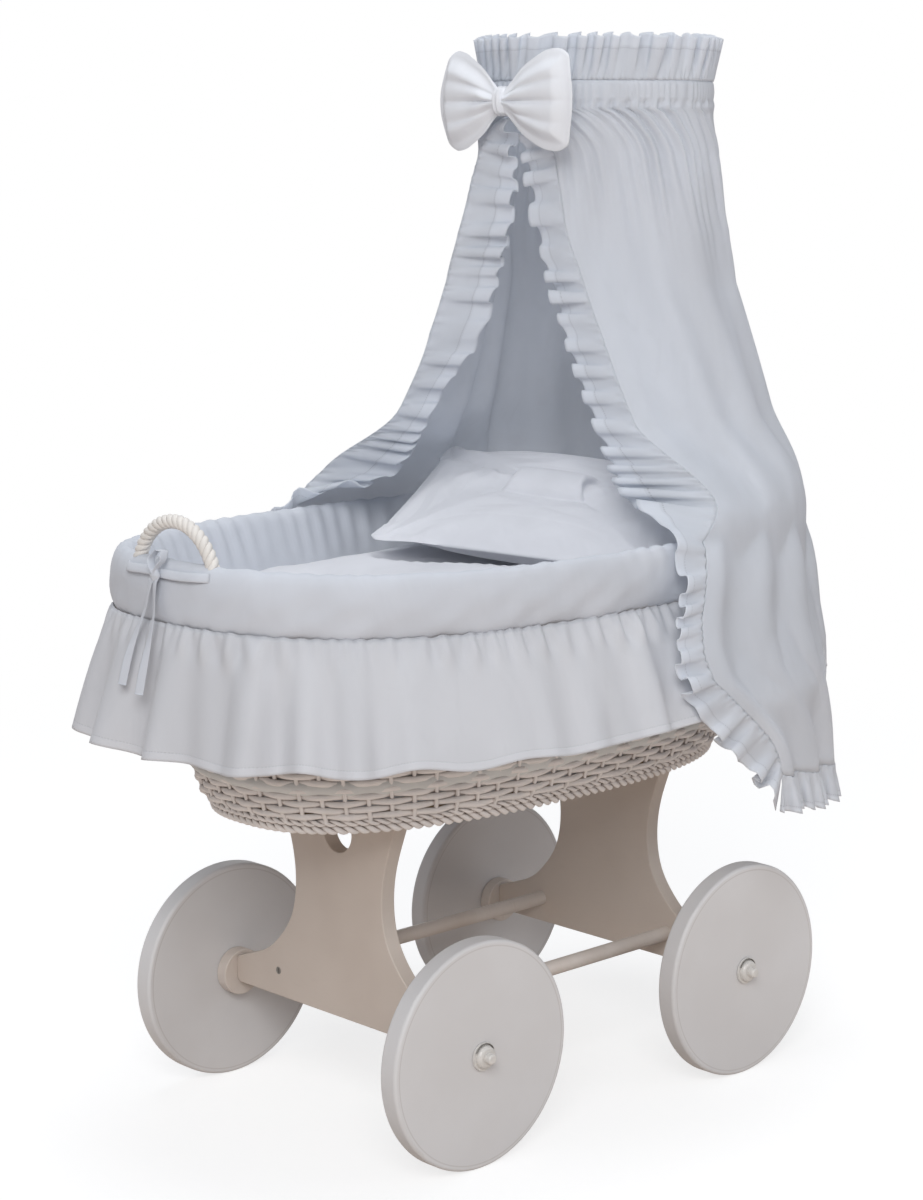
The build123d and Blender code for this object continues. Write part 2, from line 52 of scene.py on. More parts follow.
# Camera: stands at the foot end's near corner, a little above the rim, and looks along the
# bassinet. Its place and lens come from lines fitted to the wheels and boards of the photograph.
CAMERA_AT = (-2.1521, -2.2505, 1.1283)
CAMERA_LOOK = (0.678066, 0.714659, -0.171724)
CAMERA_ROLL = math.radians(-0.13)
LENS_MM = 80.14
SENSOR_MM = 36.0

lens = bpy.data.cameras.new("camera")
lens.lens = LENS_MM
lens.sensor_width = lens.sensor_height = SENSOR_MM
lens.clip_end = 60
camera = bpy.data.objects.new("camera", lens)
turn = Vector(CAMERA_LOOK).to_track_quat("-Z", "Y").to_matrix().to_4x4()
camera.matrix_world = Matrix.Translation(CAMERA_AT) @ turn @ Matrix.Rotation(CAMERA_ROLL, 4, "Z")
bpy.context.collection.objects.link(camera)
bpy.context.scene.camera = camera
bpy.context.scene.view_settings.view_transform = "Standard"


# Floor, backdrop and studio light: a pale floor that keeps the bassinet's soft shadow, a white
# surround that only the camera and reflections see, and soft boxes at the left, right and above.
FLOOR_BOUNCE = (0.78, 0.68, 0.60, 1)
FLOOR_GREY = (0.34, 0.34, 0.34, 1)
FLOOR_SEEN = 0.74        # light of its own that the camera sees on the floor
FLOOR_HALF = 30.0
WHITE = (1, 1, 1, 1)
FLOOR_FADE = (0.9, 2.6)  # metres from the middle over which the floor fades to pure white
SURROUND = (0.78, 0.83, 0.92, 1)
SURROUND_LEVEL = 0.39
SOFT_BOXES = [   # name, place, size, watts
    ("key_box", (-4.4, -4.2, 4.4), 3.6, 258),
    ("side_box", (3.2, -5.4, 2.6), 3.0, 42),
    ("top_box", (0.4, 0.6, 6.4), 3.6, 130),
]


class Signal:
    """One output of a shader node; sums, products and powers of signals add Math nodes."""

    def __init__(self, finish, socket):
        self.finish, self.socket = finish, socket

    def _math(self, operation, first, second):
        return self.finish.node("Math", {"operation": operation}, first, second)

    def __add__(self, other):
        return self._math("ADD", self, other)

    def __sub__(self, other):
        return self._math("SUBTRACT", self, other)

    def __rsub__(self, other):
        return self._math("SUBTRACT", other, self)

    def __mul__(self, other):
        return self._math("MULTIPLY", self, other)

    def __truediv__(self, other):
        return self._math("DIVIDE", self, other)

    def __pow__(self, other):
        return self._math("POWER", self, other)

    __radd__, __rmul__ = __add__, __mul__


class Finish:
    """The node tree of a material or world; node() adds one node and returns one output."""

    def __init__(self, tree):
        self.tree = tree

    def node(self, kind, settings=None, *values, out=0, **named):
        """Adds a node: its settings first, then its sockets in order or by name."""
        made = self.tree.nodes.new("ShaderNode" + kind)
        for key, value in (settings or {}).items():
            setattr(made, key, value)
        for socket, value in zip(made.inputs, values):
            self.feed(socket, value)
        for key, value in named.items():
            self.feed(made.inputs[key.replace("_", " ")], value)
        return Signal(self, made.outputs[out]) if made.outputs else None

    def feed(self, socket, value):
        """Links a signal to a socket, or sets a plain value on it."""
        if isinstance(value, Signal):
            self.tree.links.new(value.socket, socket)
        else:
            socket.default_value = value

    def ease(self, value, low, high):
        """0 below low, 1 above high, and a smooth step between them."""
        return self.node("MapRange", {"interpolation_type": "SMOOTHSTEP"}, value, low, high)

    def between(self, factor, first, second):
        """Colour between two colours."""
        made = self.tree.nodes.new("ShaderNodeMix")
        made.data_type = "RGBA"
        for index, value in ((0, factor), (6, first), (7, second)):
            self.feed(made.inputs[index], value)
        return Signal(self, made.outputs[2])


def fresh_material(name):
    """A new material with empty nodes, and its finish."""
    material = bpy.data.materials.new(name)
    material.use_nodes = True
    material.node_tree.nodes.clear()
    return material, Finish(material.node_tree)


def close_material(finish, shader):
    """Joins a shader to the material's output."""
    finish.node("OutputMaterial", None, shader)


def bumped(look, tone, rough, height, strength, distance, **plain):
    """Principled surface with a bump from a height; plain holds its values that stay fixed."""
    bump = look.node("Bump", None, Strength=strength, Distance=distance, Height=height)
    return look.node("BsdfPrincipled", None, Base_Color=tone, Roughness=rough, Normal=bump, **plain)


def dim(colour, share):
    """The same colour times a share, kept at or below 1."""
    return tuple(min(1, c * share) for c in colour[:3]) + (1,)


floor_paint, look = fresh_material("floor_paint")
seen = look.node("LightPath")
diffuse = look.node("BsdfDiffuse", None, FLOOR_GREY)
glow = look.node("Emission", None, WHITE, FLOOR_SEEN)
bounce = look.node("BsdfDiffuse", None, FLOOR_BOUNCE)
from_middle = look.node("VectorMath", {"operation": "LENGTH"}, look.node("TexCoord", out=3), out=1)
backdrop = look.node("MixShader", None, look.ease(from_middle, *FLOOR_FADE),
                     look.node("AddShader", None, diffuse, glow),
                     look.node("Emission", None, WHITE, 1.0))
close_material(look, look.node("MixShader", None, seen, bounce, backdrop))

sheet = bpy.data.meshes.new("floor")
sheet.from_pydata([(x, y, 0) for x, y in ((-1, -1), (1, -1), (1, 1), (-1, 1))], [], [(0, 1, 2, 3)])
sheet.transform(Matrix.Scale(FLOOR_HALF, 4))
sheet.materials.append(floor_paint)
floor = bpy.data.objects.new("floor", sheet)
bpy.context.collection.objects.link(floor)

world = bpy.data.worlds.new("surround")
world.use_nodes = True
world.node_tree.nodes.clear()
look = Finish(world.node_tree)
seen = look.node("LightPath")
glossy = look.node("LightPath", out=3)
seen_or_glossy = look.node("Math", {"operation": "MAXIMUM"}, seen, glossy)
look.node("OutputWorld", None, look.node(
    "MixShader", None, seen_or_glossy,
    look.node("Background", None, SURROUND, SURROUND_LEVEL),
    look.node("Background", None, WHITE, 1.0)))
bpy.context.scene.world = world

LAMPS_AIM = Vector((0.05, 0, 0.62))
for name, place, size, watts in SOFT_BOXES:
    lamp = bpy.data.lights.new(name, "AREA")
    lamp.shape, lamp.size, lamp.energy = "DISK", size, watts
    box = bpy.data.objects.new(name, lamp)
    box.matrix_world = Matrix.Translation(place) @ (
        LAMPS_AIM - Vector(place)).to_track_quat("-Z", "Y").to_matrix().to_4x4()
    bpy.context.collection.objects.link(box)


# End boards, rods and spacers: shaped boards and turned rods under two coats of warm white
# satin paint, rolled on, with faint roller texture.
# Painted shade: the boards' paint is a darker, warmer copy of the wheels' white, for the shade under
# the basket.
BOARD_COLOUR_SHADED = (0.615, 0.54, 0.478, 1)
BOARD_SHADE = (0.565, 0.488, 0.428, 1)
GRAIN_BUMP = 0.05


def paint(name, colour, shade, rough, grain=(3, 3, 3), coat=0.0, extra=None):
    """Rolled or sprayed paint: two close tints mixed by broad noise, fine bumps in the film."""
    material, look = fresh_material(name)
    where = look.node("TexCoord", out=3)
    broad = look.node("TexNoise", None, where, Scale=6.0, Detail=3.0)
    stretched = look.node("Mapping", None, where, Scale=grain)
    fibre = look.node("TexNoise", None, stretched, Scale=30.0, Detail=4.0)
    peel = look.node("TexNoise", None, where, Scale=900.0, Detail=2.0)
    tone = look.between(look.ease(broad, 0.35, 0.7), colour, shade)
    tone = look.between(look.ease(fibre, 0.55, 0.75) * 0.25, tone, shade)
    height = fibre * 0.6 + peel * 0.4
    if extra:
        tone, height = extra(look, where, tone, height)
    close_material(look, bumped(look, tone, look.ease(peel, 0.2, 0.8) * 0.10 + rough, height,
                                GRAIN_BUMP, 0.0006, Coat_Weight=coat, Coat_Roughness=0.35))
    return material


def dress(material, *names):
    """Gives CAD nodes a better material in place of their plain one."""
    for name in names:
        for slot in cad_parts[name].material_slots:
            slot.material = material


def corners_of(words):
    """Node names for each of the four corners, from one word."""
    return [f"{words}_{end}_{side}" for end in ("foot", "head") for side in ("near", "far")]


board_paint = paint("board_paint", BOARD_COLOUR_SHADED, BOARD_SHADE, 0.46, grain=(2, 2, 14))
rod_paint = paint("rod_paint", (0.71, 0.655, 0.61, 1), BOARD_SHADE, 0.42, grain=(10, 2, 2))
dress(board_paint, "end_board_foot", "end_board_head", "pole_bracket")
dress(rod_paint, "rod_near", "rod_far", *corners_of("spacer"))


# Wheels: flat round discs cut from board, edges rounded, the same warm white; a faint dent runs
# round each face where the rounding starts, darkened with painted shade.
WHEEL_COLOUR = (0.675, 0.67, 0.675, 1)
WHEEL_SHADE = (0.64, 0.63, 0.63, 1)
RIM_LINE_R = 0.1235
RIM_LINE_HALF = 0.0011


def rim_line_shade(centre_x, centre_z):
    """Painted shade in a thin ring on each face, with a shallow dent, from the distance to the axle.
    """
    def add(look, where, tone, height):
        """The ring is where the distance from the axle is within a millimetre of its radius."""
        apart = look.node("VectorMath", {"operation": "SUBTRACT"}, where, (centre_x, 0, centre_z))
        flat = look.node("VectorMath", {"operation": "MULTIPLY"}, apart, (1, 0, 1))
        reach = look.node("VectorMath", {"operation": "LENGTH"}, flat, out=1)
        off = look.node("Math", {"operation": "ABSOLUTE"}, reach - RIM_LINE_R)
        ring = 1 - look.ease(off, RIM_LINE_HALF * 0.3, RIM_LINE_HALF)
        # Painted shade: the dark colour laid along the dented ring
        tone = look.between(ring * 0.35, tone, (0.42, 0.39, 0.37, 1))
        return tone, height - ring * 0.8
    return add


axle_x = {end: (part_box(f"wheel_{end}_near")[0][0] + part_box(f"wheel_{end}_near")[1][0]) / 2
          for end in ("foot", "head")}
axle_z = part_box("wheel_foot_near")[1][2] / 2
for end, x in axle_x.items():
    wheel_paint = paint(f"wheel_paint_{end}", WHEEL_COLOUR, WHEEL_SHADE, 0.44, grain=(2, 2, 2),
                        extra=rim_line_shade(x, axle_z))
    dress(wheel_paint, f"wheel_{end}_near", f"wheel_{end}_far")


# Hub caps, axle nubs, clips and screws: pressed white plastic caps over enamelled axle ends, a
# dark sprung wire that keeps each wheel on, and zinc-plated screws.
def moulded(name, colour, rough, coat=0.3):
    """Moulded plastic or enamel: even colour, slightly wavy gloss and a fine matt grain."""
    material, look = fresh_material(name)
    where = look.node("TexCoord", out=3)
    flow = look.node("TexNoise", None, where, Scale=120.0, Detail=2.0)
    grain = look.node("TexNoise", None, where, Scale=1600.0, Detail=1.0)
    tone = look.between(look.ease(flow, 0.4, 0.7), colour, dim(colour, 0.93))
    close_material(look, bumped(look, tone, flow * 0.12 + rough, grain, 0.06, 0.0003,
                                Coat_Weight=coat, Coat_Roughness=0.2))
    return material


def steel(name, colour, rough, grain):
    """Drawn or plated steel: fine lines along one direction vary its roughness and colour."""
    material, look = fresh_material(name)
    where = look.node("TexCoord", out=3)
    lines = look.node("TexNoise", None, look.node("Mapping", None, where, Scale=grain),
                      Scale=220.0, Detail=3.0)
    spots = look.node("TexNoise", None, where, Scale=260.0, Detail=2.0)
    tone = look.between(look.ease(spots, 0.45, 0.7), colour, dim(colour, 0.7))
    close_material(look, bumped(look, tone, lines * 0.2 + rough, lines, 0.1, 0.0002, Metallic=1.0))
    return material


cap_plastic = moulded("cap_plastic", (0.66, 0.64, 0.61, 1), 0.28)
axle_enamel = moulded("axle_enamel", (0.68, 0.66, 0.63, 1), 0.24, coat=0.5)
clip_wire = steel("clip_wire", (0.20, 0.19, 0.18, 1), 0.32, (1, 1, 8))
screw_zinc = steel("screw_zinc", (0.34, 0.33, 0.31, 1), 0.30, (1, 8, 8))
dress(cap_plastic, *corners_of("hub_cap"), "pole_knob", "hoop_clamp")
dress(axle_enamel, *corners_of("axle_bolt"))
dress(clip_wire, *corners_of("hub_clip"))
dress(screw_zinc, *corners_of("rod_screw"), *corners_of("basket_screw"))


# Base board: a loose oval of bare plywood that spreads the mattress's weight on the weave; its
# long grain runs across the basket. Rod and hoop: bent steel under white powder coat.
def plywood(name):
    """Rotary-cut veneer: long noise bands across the board, with darker flecks along them."""
    material, look = fresh_material(name)
    where = look.node("TexCoord", out=3)
    bands = look.node("TexNoise", None, look.node("Mapping", None, where, Scale=(14, 1.2, 14)),
                      Scale=5.0, Detail=6.0)
    flecks = look.node("TexNoise", None, look.node("Mapping", None, where, Scale=(60, 4, 60)),
                       Scale=12.0, Detail=3.0)
    tone = look.between(look.ease(bands, 0.35, 0.7), (0.62, 0.46, 0.28, 1), (0.50, 0.34, 0.19, 1))
    tone = look.between(look.ease(flecks, 0.6, 0.7) * 0.5, tone, (0.34, 0.21, 0.11, 1))
    close_material(look, bumped(look, tone, bands * 0.15 + 0.6, bands, 0.2, 0.0004))
    return material


dress(plywood("base_plywood"), "base_board")
dress(paint("rod_powder_coat", (0.70, 0.70, 0.69, 1), (0.64, 0.64, 0.63, 1), 0.38, coat=0.1),
      "canopy_pole", "canopy_hoop")


# Wicker basket: peeled willow under white paint. Round weavers go over one stake and under the
# next, each row the other way about; a twisted border closes the bottom edge.
OVALS = np.array([(384, 352, 177), (400, 366, 190), (480, 393, 212), (662, 440, 262)]) * MM
SQUARENESS = 2.5
STAKES = 72
ROW_STEP = 0.0081
ROW_FIRST = 0.3985
ROW_LAST = 0.6600
WEAVE_IN = 0.0050        # middle of the weave, inside the basket's outer face
WEAVE_SWING = 0.0029
WEAVER_HALF = (0.0023, 0.0040)
STAKE_R = 0.0026
STEPS_PER_STAKE = 6
WICKER_COLOUR = (0.83, 0.785, 0.755, 1)
# Painted shade for the gaps between rods, mixed in where they occlude each other
WICKER_GAP_SHADE = (0.42, 0.35, 0.31, 1)


def make_piece(name, points, faces, maps=None):
    """Object from a point array and arrays of faces, one array per corner count; maps holds a
    UV place for each corner in the same order."""
    mesh = bpy.data.meshes.new(name)
    points = np.asarray(points, np.float32).reshape(-1, 3)
    counts = np.concatenate([np.full(len(f), f.shape[1]) for f in faces])
    loops = np.concatenate([f.ravel() for f in faces]).astype(np.int32)
    mesh.vertices.add(len(points))
    mesh.vertices.foreach_set("co", points.ravel())
    mesh.loops.add(len(loops))
    mesh.loops.foreach_set("vertex_index", loops)
    mesh.polygons.add(len(counts))
    mesh.polygons.foreach_set("loop_start", (np.cumsum(counts) - counts).astype(np.int32))
    mesh.update(calc_edges=True)
    if maps is not None:
        layer = mesh.uv_layers.new(name="cloth")
        layer.data.foreach_set("uv", np.concatenate(
            [np.asarray(m, np.float32).reshape(-1, 2) for m in maps]).ravel())
    mesh.polygons.foreach_set("use_smooth", np.ones(len(counts), bool))
    mesh.validate()
    piece = bpy.data.objects.new(name, mesh)
    bpy.context.collection.objects.link(piece)
    return piece


def grid_faces(rows, columns, wrap_rows=False, wrap_columns=False):
    """Quads over a grid numbered row by row; a wrapped way joins its last line to its first."""
    i = np.arange(rows if wrap_rows else rows - 1)[:, None]
    j = np.arange(columns if wrap_columns else columns - 1)[None, :]
    i2, j2 = (i + 1) % rows, (j + 1) % columns
    return np.stack([i * columns + j, i2 * columns + j, i2 * columns + j2, i * columns + j2],
                    -1).reshape(-1, 4)


def grid_maps(across, down):
    """Corner places of the same quads, from the two distances given at every grid line."""
    place = np.stack(np.broadcast_arrays(across, down), -1)
    return np.stack([place[:-1, :-1], place[1:, :-1], place[1:, 1:], place[:-1, 1:]],
                    2).reshape(-1, 4, 2)


def unit(v):
    """Vectors divided by their lengths."""
    return v / np.linalg.norm(v, axis=-1, keepdims=True)


def direction(points, axis, closed):
    """Step from the point before to the point after along one axis; a closed line wraps round."""
    if closed:
        return np.roll(points, -1, axis) - np.roll(points, 1, axis)
    return np.gradient(points, axis=axis)


def bars(name, lines, out, half, sides, closed=False):
    """Bars along lines: each ring is the line's point plus an ellipse, whose first half width
    lies along the outward direction and whose second lies square to it and to the line."""
    count, length = lines.shape[:2]
    along = direction(lines, 1, closed)
    side = unit(np.cross(unit(along), out))
    out = np.cross(side, unit(along))
    turn = np.arange(sides) * 2 * np.pi / sides
    half = np.broadcast_to(np.asarray(half), (count, length, 2))[..., None, :]
    rings = (lines[:, :, None] + out[:, :, None] * (half[..., 0] * np.cos(turn))[..., None]
             + side[:, :, None] * (half[..., 1] * np.sin(turn))[..., None])
    one = grid_faces(length, sides, closed, True)[:, ::-1]
    start = np.arange(count)[:, None, None] * length * sides
    faces = [(one[None] + start).reshape(-1, 4)]
    if not closed:
        ring = np.arange(sides)[None] + np.arange(count)[:, None] * length * sides
        faces += [ring, ring[:, ::-1] + (length - 1) * sides]
    return make_piece(name, rings, faces)


def half_sizes(z):
    """Half length and half width of the basket's outer oval at each height."""
    return np.interp(z, OVALS[:, 0], OVALS[:, 1]), np.interp(z, OVALS[:, 0], OVALS[:, 2])


# Fraction of the way round the oval against its angle, so that stakes stand evenly
fine = np.linspace(0, 2 * np.pi, 4001)


def oval(a, b, angle):
    """Rounded oval: each half size times cosine or sine to the power 2 over its squareness."""
    c, s = np.cos(angle), np.sin(angle)
    power = 2 / SQUARENESS
    return a * np.sign(c) * np.abs(c) ** power, b * np.sign(s) * np.abs(s) ** power


x_fine, y_fine = oval(*OVALS[-1, 1:], fine)
way = np.concatenate([[0], np.cumsum(np.hypot(np.diff(x_fine), np.diff(y_fine)))])
ROUND = way[-1]


def round_angle(fraction):
    """Angle of the oval at a fraction of the way round it."""
    return np.interp(np.mod(fraction, 1), way / ROUND, fine)


def oval_out(a, b, x, y):
    """Unit vector square to the oval, pointing outwards, level."""
    n = SQUARENESS - 1
    nx = np.sign(x) * (np.abs(x) / a) ** n / a
    ny = np.sign(y) * (np.abs(y) / b) ** n / b
    return unit(np.stack([nx, ny, np.zeros_like(nx)], -1))


def ripple(u, v, around, down, seed, count=7):
    """Smooth random field near -1..1: a sum of cosines that run a whole number of times along u
    and up to a number of times along v, with seeded waves and phases."""
    rng = np.random.default_rng(seed)
    waves = zip(rng.integers(around[0], around[1] + 1, count), rng.uniform(-down, down, count),
                rng.uniform(0, 2 * np.pi, count))
    return sum(np.cos(2 * np.pi * (m * u + n * v) + p) for m, n, p in waves) / math.sqrt(count)


def around_basket(fraction, z, inset):
    """Points and outward directions at a distance inside the basket's outer face."""
    a, b = half_sizes(z)
    a, b = np.broadcast_arrays(a, b)
    x, y = oval(a, b, round_angle(fraction))
    out = oval_out(a, b, x, y)
    face = np.stack([x, y, np.broadcast_to(z, x.shape)], -1)
    return face - out * np.asarray(inset)[..., None], out


rows = np.arange(int((ROW_LAST - ROW_FIRST) / ROW_STEP) + 1)[:, None]
round_way = (np.arange(STAKES * STEPS_PER_STAKE) / (STAKES * STEPS_PER_STAKE))[None, :]
over_under = np.cos(np.pi * (STAKES * round_way + rows))
row_z = ROW_FIRST + ROW_STEP * rows + 0.0007 * ripple(round_way, rows * 0.37, (3, 40), 3, 11)
swing = WEAVE_SWING * over_under * (1 + 0.12 * ripple(round_way, rows * 0.61, (5, 50), 4, 12))
lines, out = around_basket(round_way + 0 * rows, row_z, WEAVE_IN - swing)
thick = 1 + 0.06 * ripple(round_way, rows * 0.83, (2, 30), 5, 13)
weave = bars("basket_weave", lines, out, np.stack(
    [WEAVER_HALF[0] * thick, WEAVER_HALF[1] * thick], -1), 6, closed=True)

STAKE_STEPS = 22
STAKE_FOOT_Z = 0.3870
stake_z = np.linspace(STAKE_FOOT_Z, ROW_LAST, STAKE_STEPS)[None, :]
stake_way = (np.arange(STAKES) / STAKES)[:, None]
lines, out = around_basket(stake_way + 0 * stake_z, stake_z + 0 * stake_way,
                           WEAVE_IN + 0 * stake_z * stake_way)
stakes = bars("basket_stakes", lines, out, (STAKE_R, STAKE_R), 6)


def twist(name, line, out, strands, turns, strand_r, lay_r, sides, closed=False):
    """Strands twisted round a line: each circles it at the lay radius, a share of a turn apart."""
    length = line.shape[0]
    share = np.arange(length) / (length if closed else length - 1)
    along = unit(direction(line, 0, closed))
    side = unit(np.cross(along, out))
    phase = 2 * np.pi * (turns * share[None, :] + np.arange(strands)[:, None] / strands)
    ring = out[None] * np.cos(phase)[..., None] + side[None] * np.sin(phase)[..., None]
    return bars(name, line[None] + ring * lay_r, ring, (strand_r, strand_r * 1.06), sides, closed)


BORDER_STEPS = STAKES * 10
TWISTS = [   # name, height, distance inside the outer face, strand radius, lay radius, sides
    ("basket_border", 0.3815, 0.0042, 0.0031, 0.0030, 8),
    ("basket_waling", 0.3900, 0.0046, 0.0024, 0.0024, 6),
]
border_way = np.arange(BORDER_STEPS) / BORDER_STEPS
borders = []
for name, height, inset, strand_r, lay_r, sides in TWISTS:
    line, out = around_basket(border_way, height + 0 * border_way, inset + 0 * border_way)
    borders.append(twist(name, line, out, 2, STAKES, strand_r, lay_r, sides, closed=True))

FLOOR_Z = 0.3885
FLOOR_STEP = 0.0086
FLOOR_STAKE_GAP = 0.030
UP = np.array([0, 0, 1.0])


def half_chord(at, across, along):
    """Half the length of a line through the oval, at a distance from its middle."""
    return along * (1 - (np.abs(at) / across) ** SQUARENESS) ** (1 / SQUARENESS)


strip_y = np.arange(-0.163, 0.1635, FLOOR_STEP)[:, None]
inner_a, inner_b = OVALS[0, 1] - 0.008, OVALS[0, 2] - 0.008
strip_x = half_chord(strip_y, inner_b, inner_a) * np.linspace(-1, 1, 150)[None, :]
over = np.cos(np.pi * (strip_x / FLOOR_STAKE_GAP + np.arange(len(strip_y))[:, None]))
lines = np.stack([strip_x, strip_y + 0 * strip_x, FLOOR_Z + 0.0016 * over], -1)
floor_weave = bars("basket_floor_weave", lines, np.broadcast_to(UP, lines.shape),
                   (0.0013, 0.0040), 6)
bar_x = np.arange(-11, 12)[:, None] * FLOOR_STAKE_GAP
bar_y = half_chord(bar_x, inner_a, inner_b) * np.linspace(-1, 1, 24)[None, :]
lines = np.stack([bar_x + 0 * bar_y, bar_y, FLOOR_Z + 0 * bar_y], -1)
floor_stakes = bars("basket_floor_stakes", lines, np.broadcast_to(UP, lines.shape),
                    (0.0019, 0.0030), 6)


def willow(name, colour, gap_shade, rough=0.5):
    """Painted willow: painted shade darkens the gaps between rods, from soft occlusion over a short
    distance, with long fibres bumped along each rod."""
    material, look = fresh_material(name)
    where = look.node("TexCoord", out=3)
    patch = look.node("TexNoise", None, where, Scale=22.0, Detail=4.0)
    fibre = look.node("TexNoise", None, look.node("Mapping", None, where, Scale=(1, 1, 7)),
                      Scale=130.0, Detail=4.0)
    occlusion_shade = look.node("AmbientOcclusion", {"samples": 6, "only_local": False}, Distance=0.007, out=1)
    tone = look.between(look.ease(patch, 0.35, 0.7), colour, dim(colour, 0.9))
    tone = look.between(look.ease(fibre, 0.6, 0.75) * 0.3, tone, dim(colour, 0.8))
    # Painted shade: the gap colour where the rods occlude each other
    tone = look.between(look.ease(occlusion_shade, 0.10, 0.75), gap_shade, tone)
    close_material(look, bumped(look, tone, fibre * 0.2 + rough, fibre, 0.25, 0.0006))
    return material


wicker_paint = willow("wicker_paint", WICKER_COLOUR, WICKER_GAP_SHADE)
for piece in (weave, stakes, *borders, floor_weave, floor_stakes):
    piece.data.materials.append(wicker_paint)
    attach(piece, "carriage")
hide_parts("basket")


# Handles: three willow strands twisted into a thick rope and bent to an arch, one at each end,
# with their feet pushed down between the weave and the liner.
HANDLE_X = 0.436
HANDLE_HALF = 0.067
HANDLE_FOOT_Z = 0.6623
HANDLE_RISE = 0.061
HANDLE_TAIL = 0.022      # length hidden in the rim at each foot
STRAND_R = 0.0040
STRAND_LAY = 0.0040
HANDLE_TURNS = 8.5


def arch_line(x, count):
    """Arch through both feet and the crown, a circle's arc, carried straight down at its feet."""
    radius = (HANDLE_HALF ** 2 + HANDLE_RISE ** 2) / (2 * HANDLE_RISE)
    middle_z = HANDLE_FOOT_Z + HANDLE_RISE - radius
    spread = math.acos((HANDLE_FOOT_Z - middle_z) / radius)
    turn = np.linspace(-spread, spread, count)
    arc = np.stack([0 * turn + x, radius * np.sin(turn), middle_z + radius * np.cos(turn)], -1)
    drop = np.linspace(1, 0, 8, endpoint=False)[:, None] * HANDLE_TAIL
    down = np.array([[0, 0, -1.0]])
    return np.concatenate([arc[:1] + down * drop, arc, arc[-1:] + down * drop[::-1]])


# The handle's second colour is painted shade for the gaps between its strands.
handle_paint = willow("handle_paint", (0.76, 0.73, 0.69, 1), (0.30, 0.25, 0.21, 1))
for end, side in (("foot", -1), ("head", 1)):
    line = arch_line(side * HANDLE_X, 150)
    out = np.broadcast_to(np.array([float(side), 0, 0]), line.shape)
    handle = twist(f"handle_rope_{end}", line, out, 3, HANDLE_TURNS, STRAND_R, STRAND_LAY, 12)
    handle.data.materials.append(handle_paint)
    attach(handle, "carriage")
    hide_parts(f"handle_{end}")


# Mattress, duvet and pillow: a foam pad in a plain cover lies on the base board, a thick folded
# duvet fills the basket above it, and a flat square-cornered pillow lies askew at the head end.
# The bed's white cotton; other pieces use darker copies of it for painted shade and lighter ones for
# painted light.
BED_COTTON = (0.68, 0.69, 0.73, 1)
SHADE_SHARE = 0.935      # painted shade: how much darker the tint is over the crinkles
COTTON_ROUGH = 0.84
STITCH = 0.0028          # length of one stitch with its gap
STITCH_COLOUR = (0.50, 0.51, 0.54, 1)
PUFF_FRAMES = 20
PUFF_SHRINK = -0.12      # below zero the cloth grows before the air fills it
PILLOW_SIZE = np.array([0.330, 0.390, 0.092])
PILLOW_LOFT = 0.46       # half height before it is filled, as a share of its height
PILLOW_SQUARENESS = 18.0
PILLOW_AT = (0.122, -0.010, 0.684)
PILLOW_TURN = math.radians(28)
PILLOW_TILT = math.radians(-15)
PILLOW_ROLL = math.radians(5)


def cotton(name, colour, thread=0.0009, crinkle=0.35, wrinkle_scale=(1, 1, 1), hem=None,
           stitch=None, thin=0.0):
    """Plain woven cotton: a fine square weave on the cloth's own map, crinkles of two sizes, and a
    darker tint over them that is painted shade. hem and stitch are distances down the cloth in
    metres where a doubled edge starts and a row of stitches runs; thin is the share of light let
    through."""
    material, look = fresh_material(name)
    shade = dim(colour, SHADE_SHARE)
    where = look.node("TexCoord", out=3)
    cloth = look.node("UVMap", {"uv_map": "cloth"})
    wave = [look.node("Math", {"operation": "SINE"}, look.node("SeparateXYZ", None, cloth, out=k)
                      * (2 * math.pi / thread)) for k in (0, 1)]
    weave_height = wave[0] * wave[1]
    broad = look.node("TexNoise", None, look.node("Mapping", None, where, Scale=wrinkle_scale),
                      Scale=9.0, Detail=4.0, Roughness=0.55, Distortion=0.6)
    creases = look.node("TexNoise", None, look.node("Mapping", None, where, Scale=wrinkle_scale),
                        Scale=46.0, Detail=3.0, Roughness=0.5, Distortion=0.9)
    # Painted shade: the shade tint follows the same noises that bump the crinkles
    tone = look.between(look.ease(broad, 0.35, 0.7), colour, shade)
    tone = look.between(look.ease(creases, 0.5, 0.75) * 0.35, tone, shade)
    height = creases * crinkle + broad * crinkle * 2.0 + weave_height * 0.03
    if hem is not None:
        down = look.node("SeparateXYZ", None, cloth, out=1)
        doubled = look.ease(down, hem, hem + 0.0006)
        tone = look.between(doubled * 0.5, tone, dim(colour, 1.06))
        height = height + doubled * 0.6
    if stitch is not None:
        down = look.node("SeparateXYZ", None, cloth, out=1)
        off = look.node("Math", {"operation": "ABSOLUTE"}, down - stitch)
        dash = look.ease(look.node("Math", {"operation": "SINE"}, look.node(
            "SeparateXYZ", None, cloth, out=0) * (2 * math.pi / STITCH)), -0.4, -0.1)
        seam = (1 - look.ease(off, 0.0003, 0.0008)) * dash
        tone = look.between(seam * 0.45, tone, STITCH_COLOUR)
        height = height - seam * 0.8
    cloth_shader = bumped(look, tone, creases * 0.08 + COTTON_ROUGH, height, 0.35, 0.0014,
                          Sheen_Weight=0.12, Sheen_Roughness=0.5, Specular_IOR_Level=0.25)
    if thin:
        cloth_shader = look.node("MixShader", None, thin, cloth_shader,
                                 look.node("BsdfTranslucent", None, tone))
    close_material(look, cloth_shader)
    return material


def read_points(mesh):
    """Places of a mesh's vertices, one row each."""
    places = np.zeros(len(mesh.vertices) * 3)
    mesh.vertices.foreach_get("co", places)
    return places.reshape(-1, 3)


def write_points(mesh, places):
    """Puts a mesh's vertices at new places."""
    mesh.vertices.foreach_set("co", places.ravel())
    mesh.update()


def cap_moves(mesh, before, most):
    """Shortens each vertex's move from its first place to at most a given distance."""
    move = read_points(mesh) - before
    length = np.linalg.norm(move, axis=1, keepdims=True)
    move *= np.minimum(1, most / np.maximum(length, 1e-9))
    write_points(mesh, before + move)


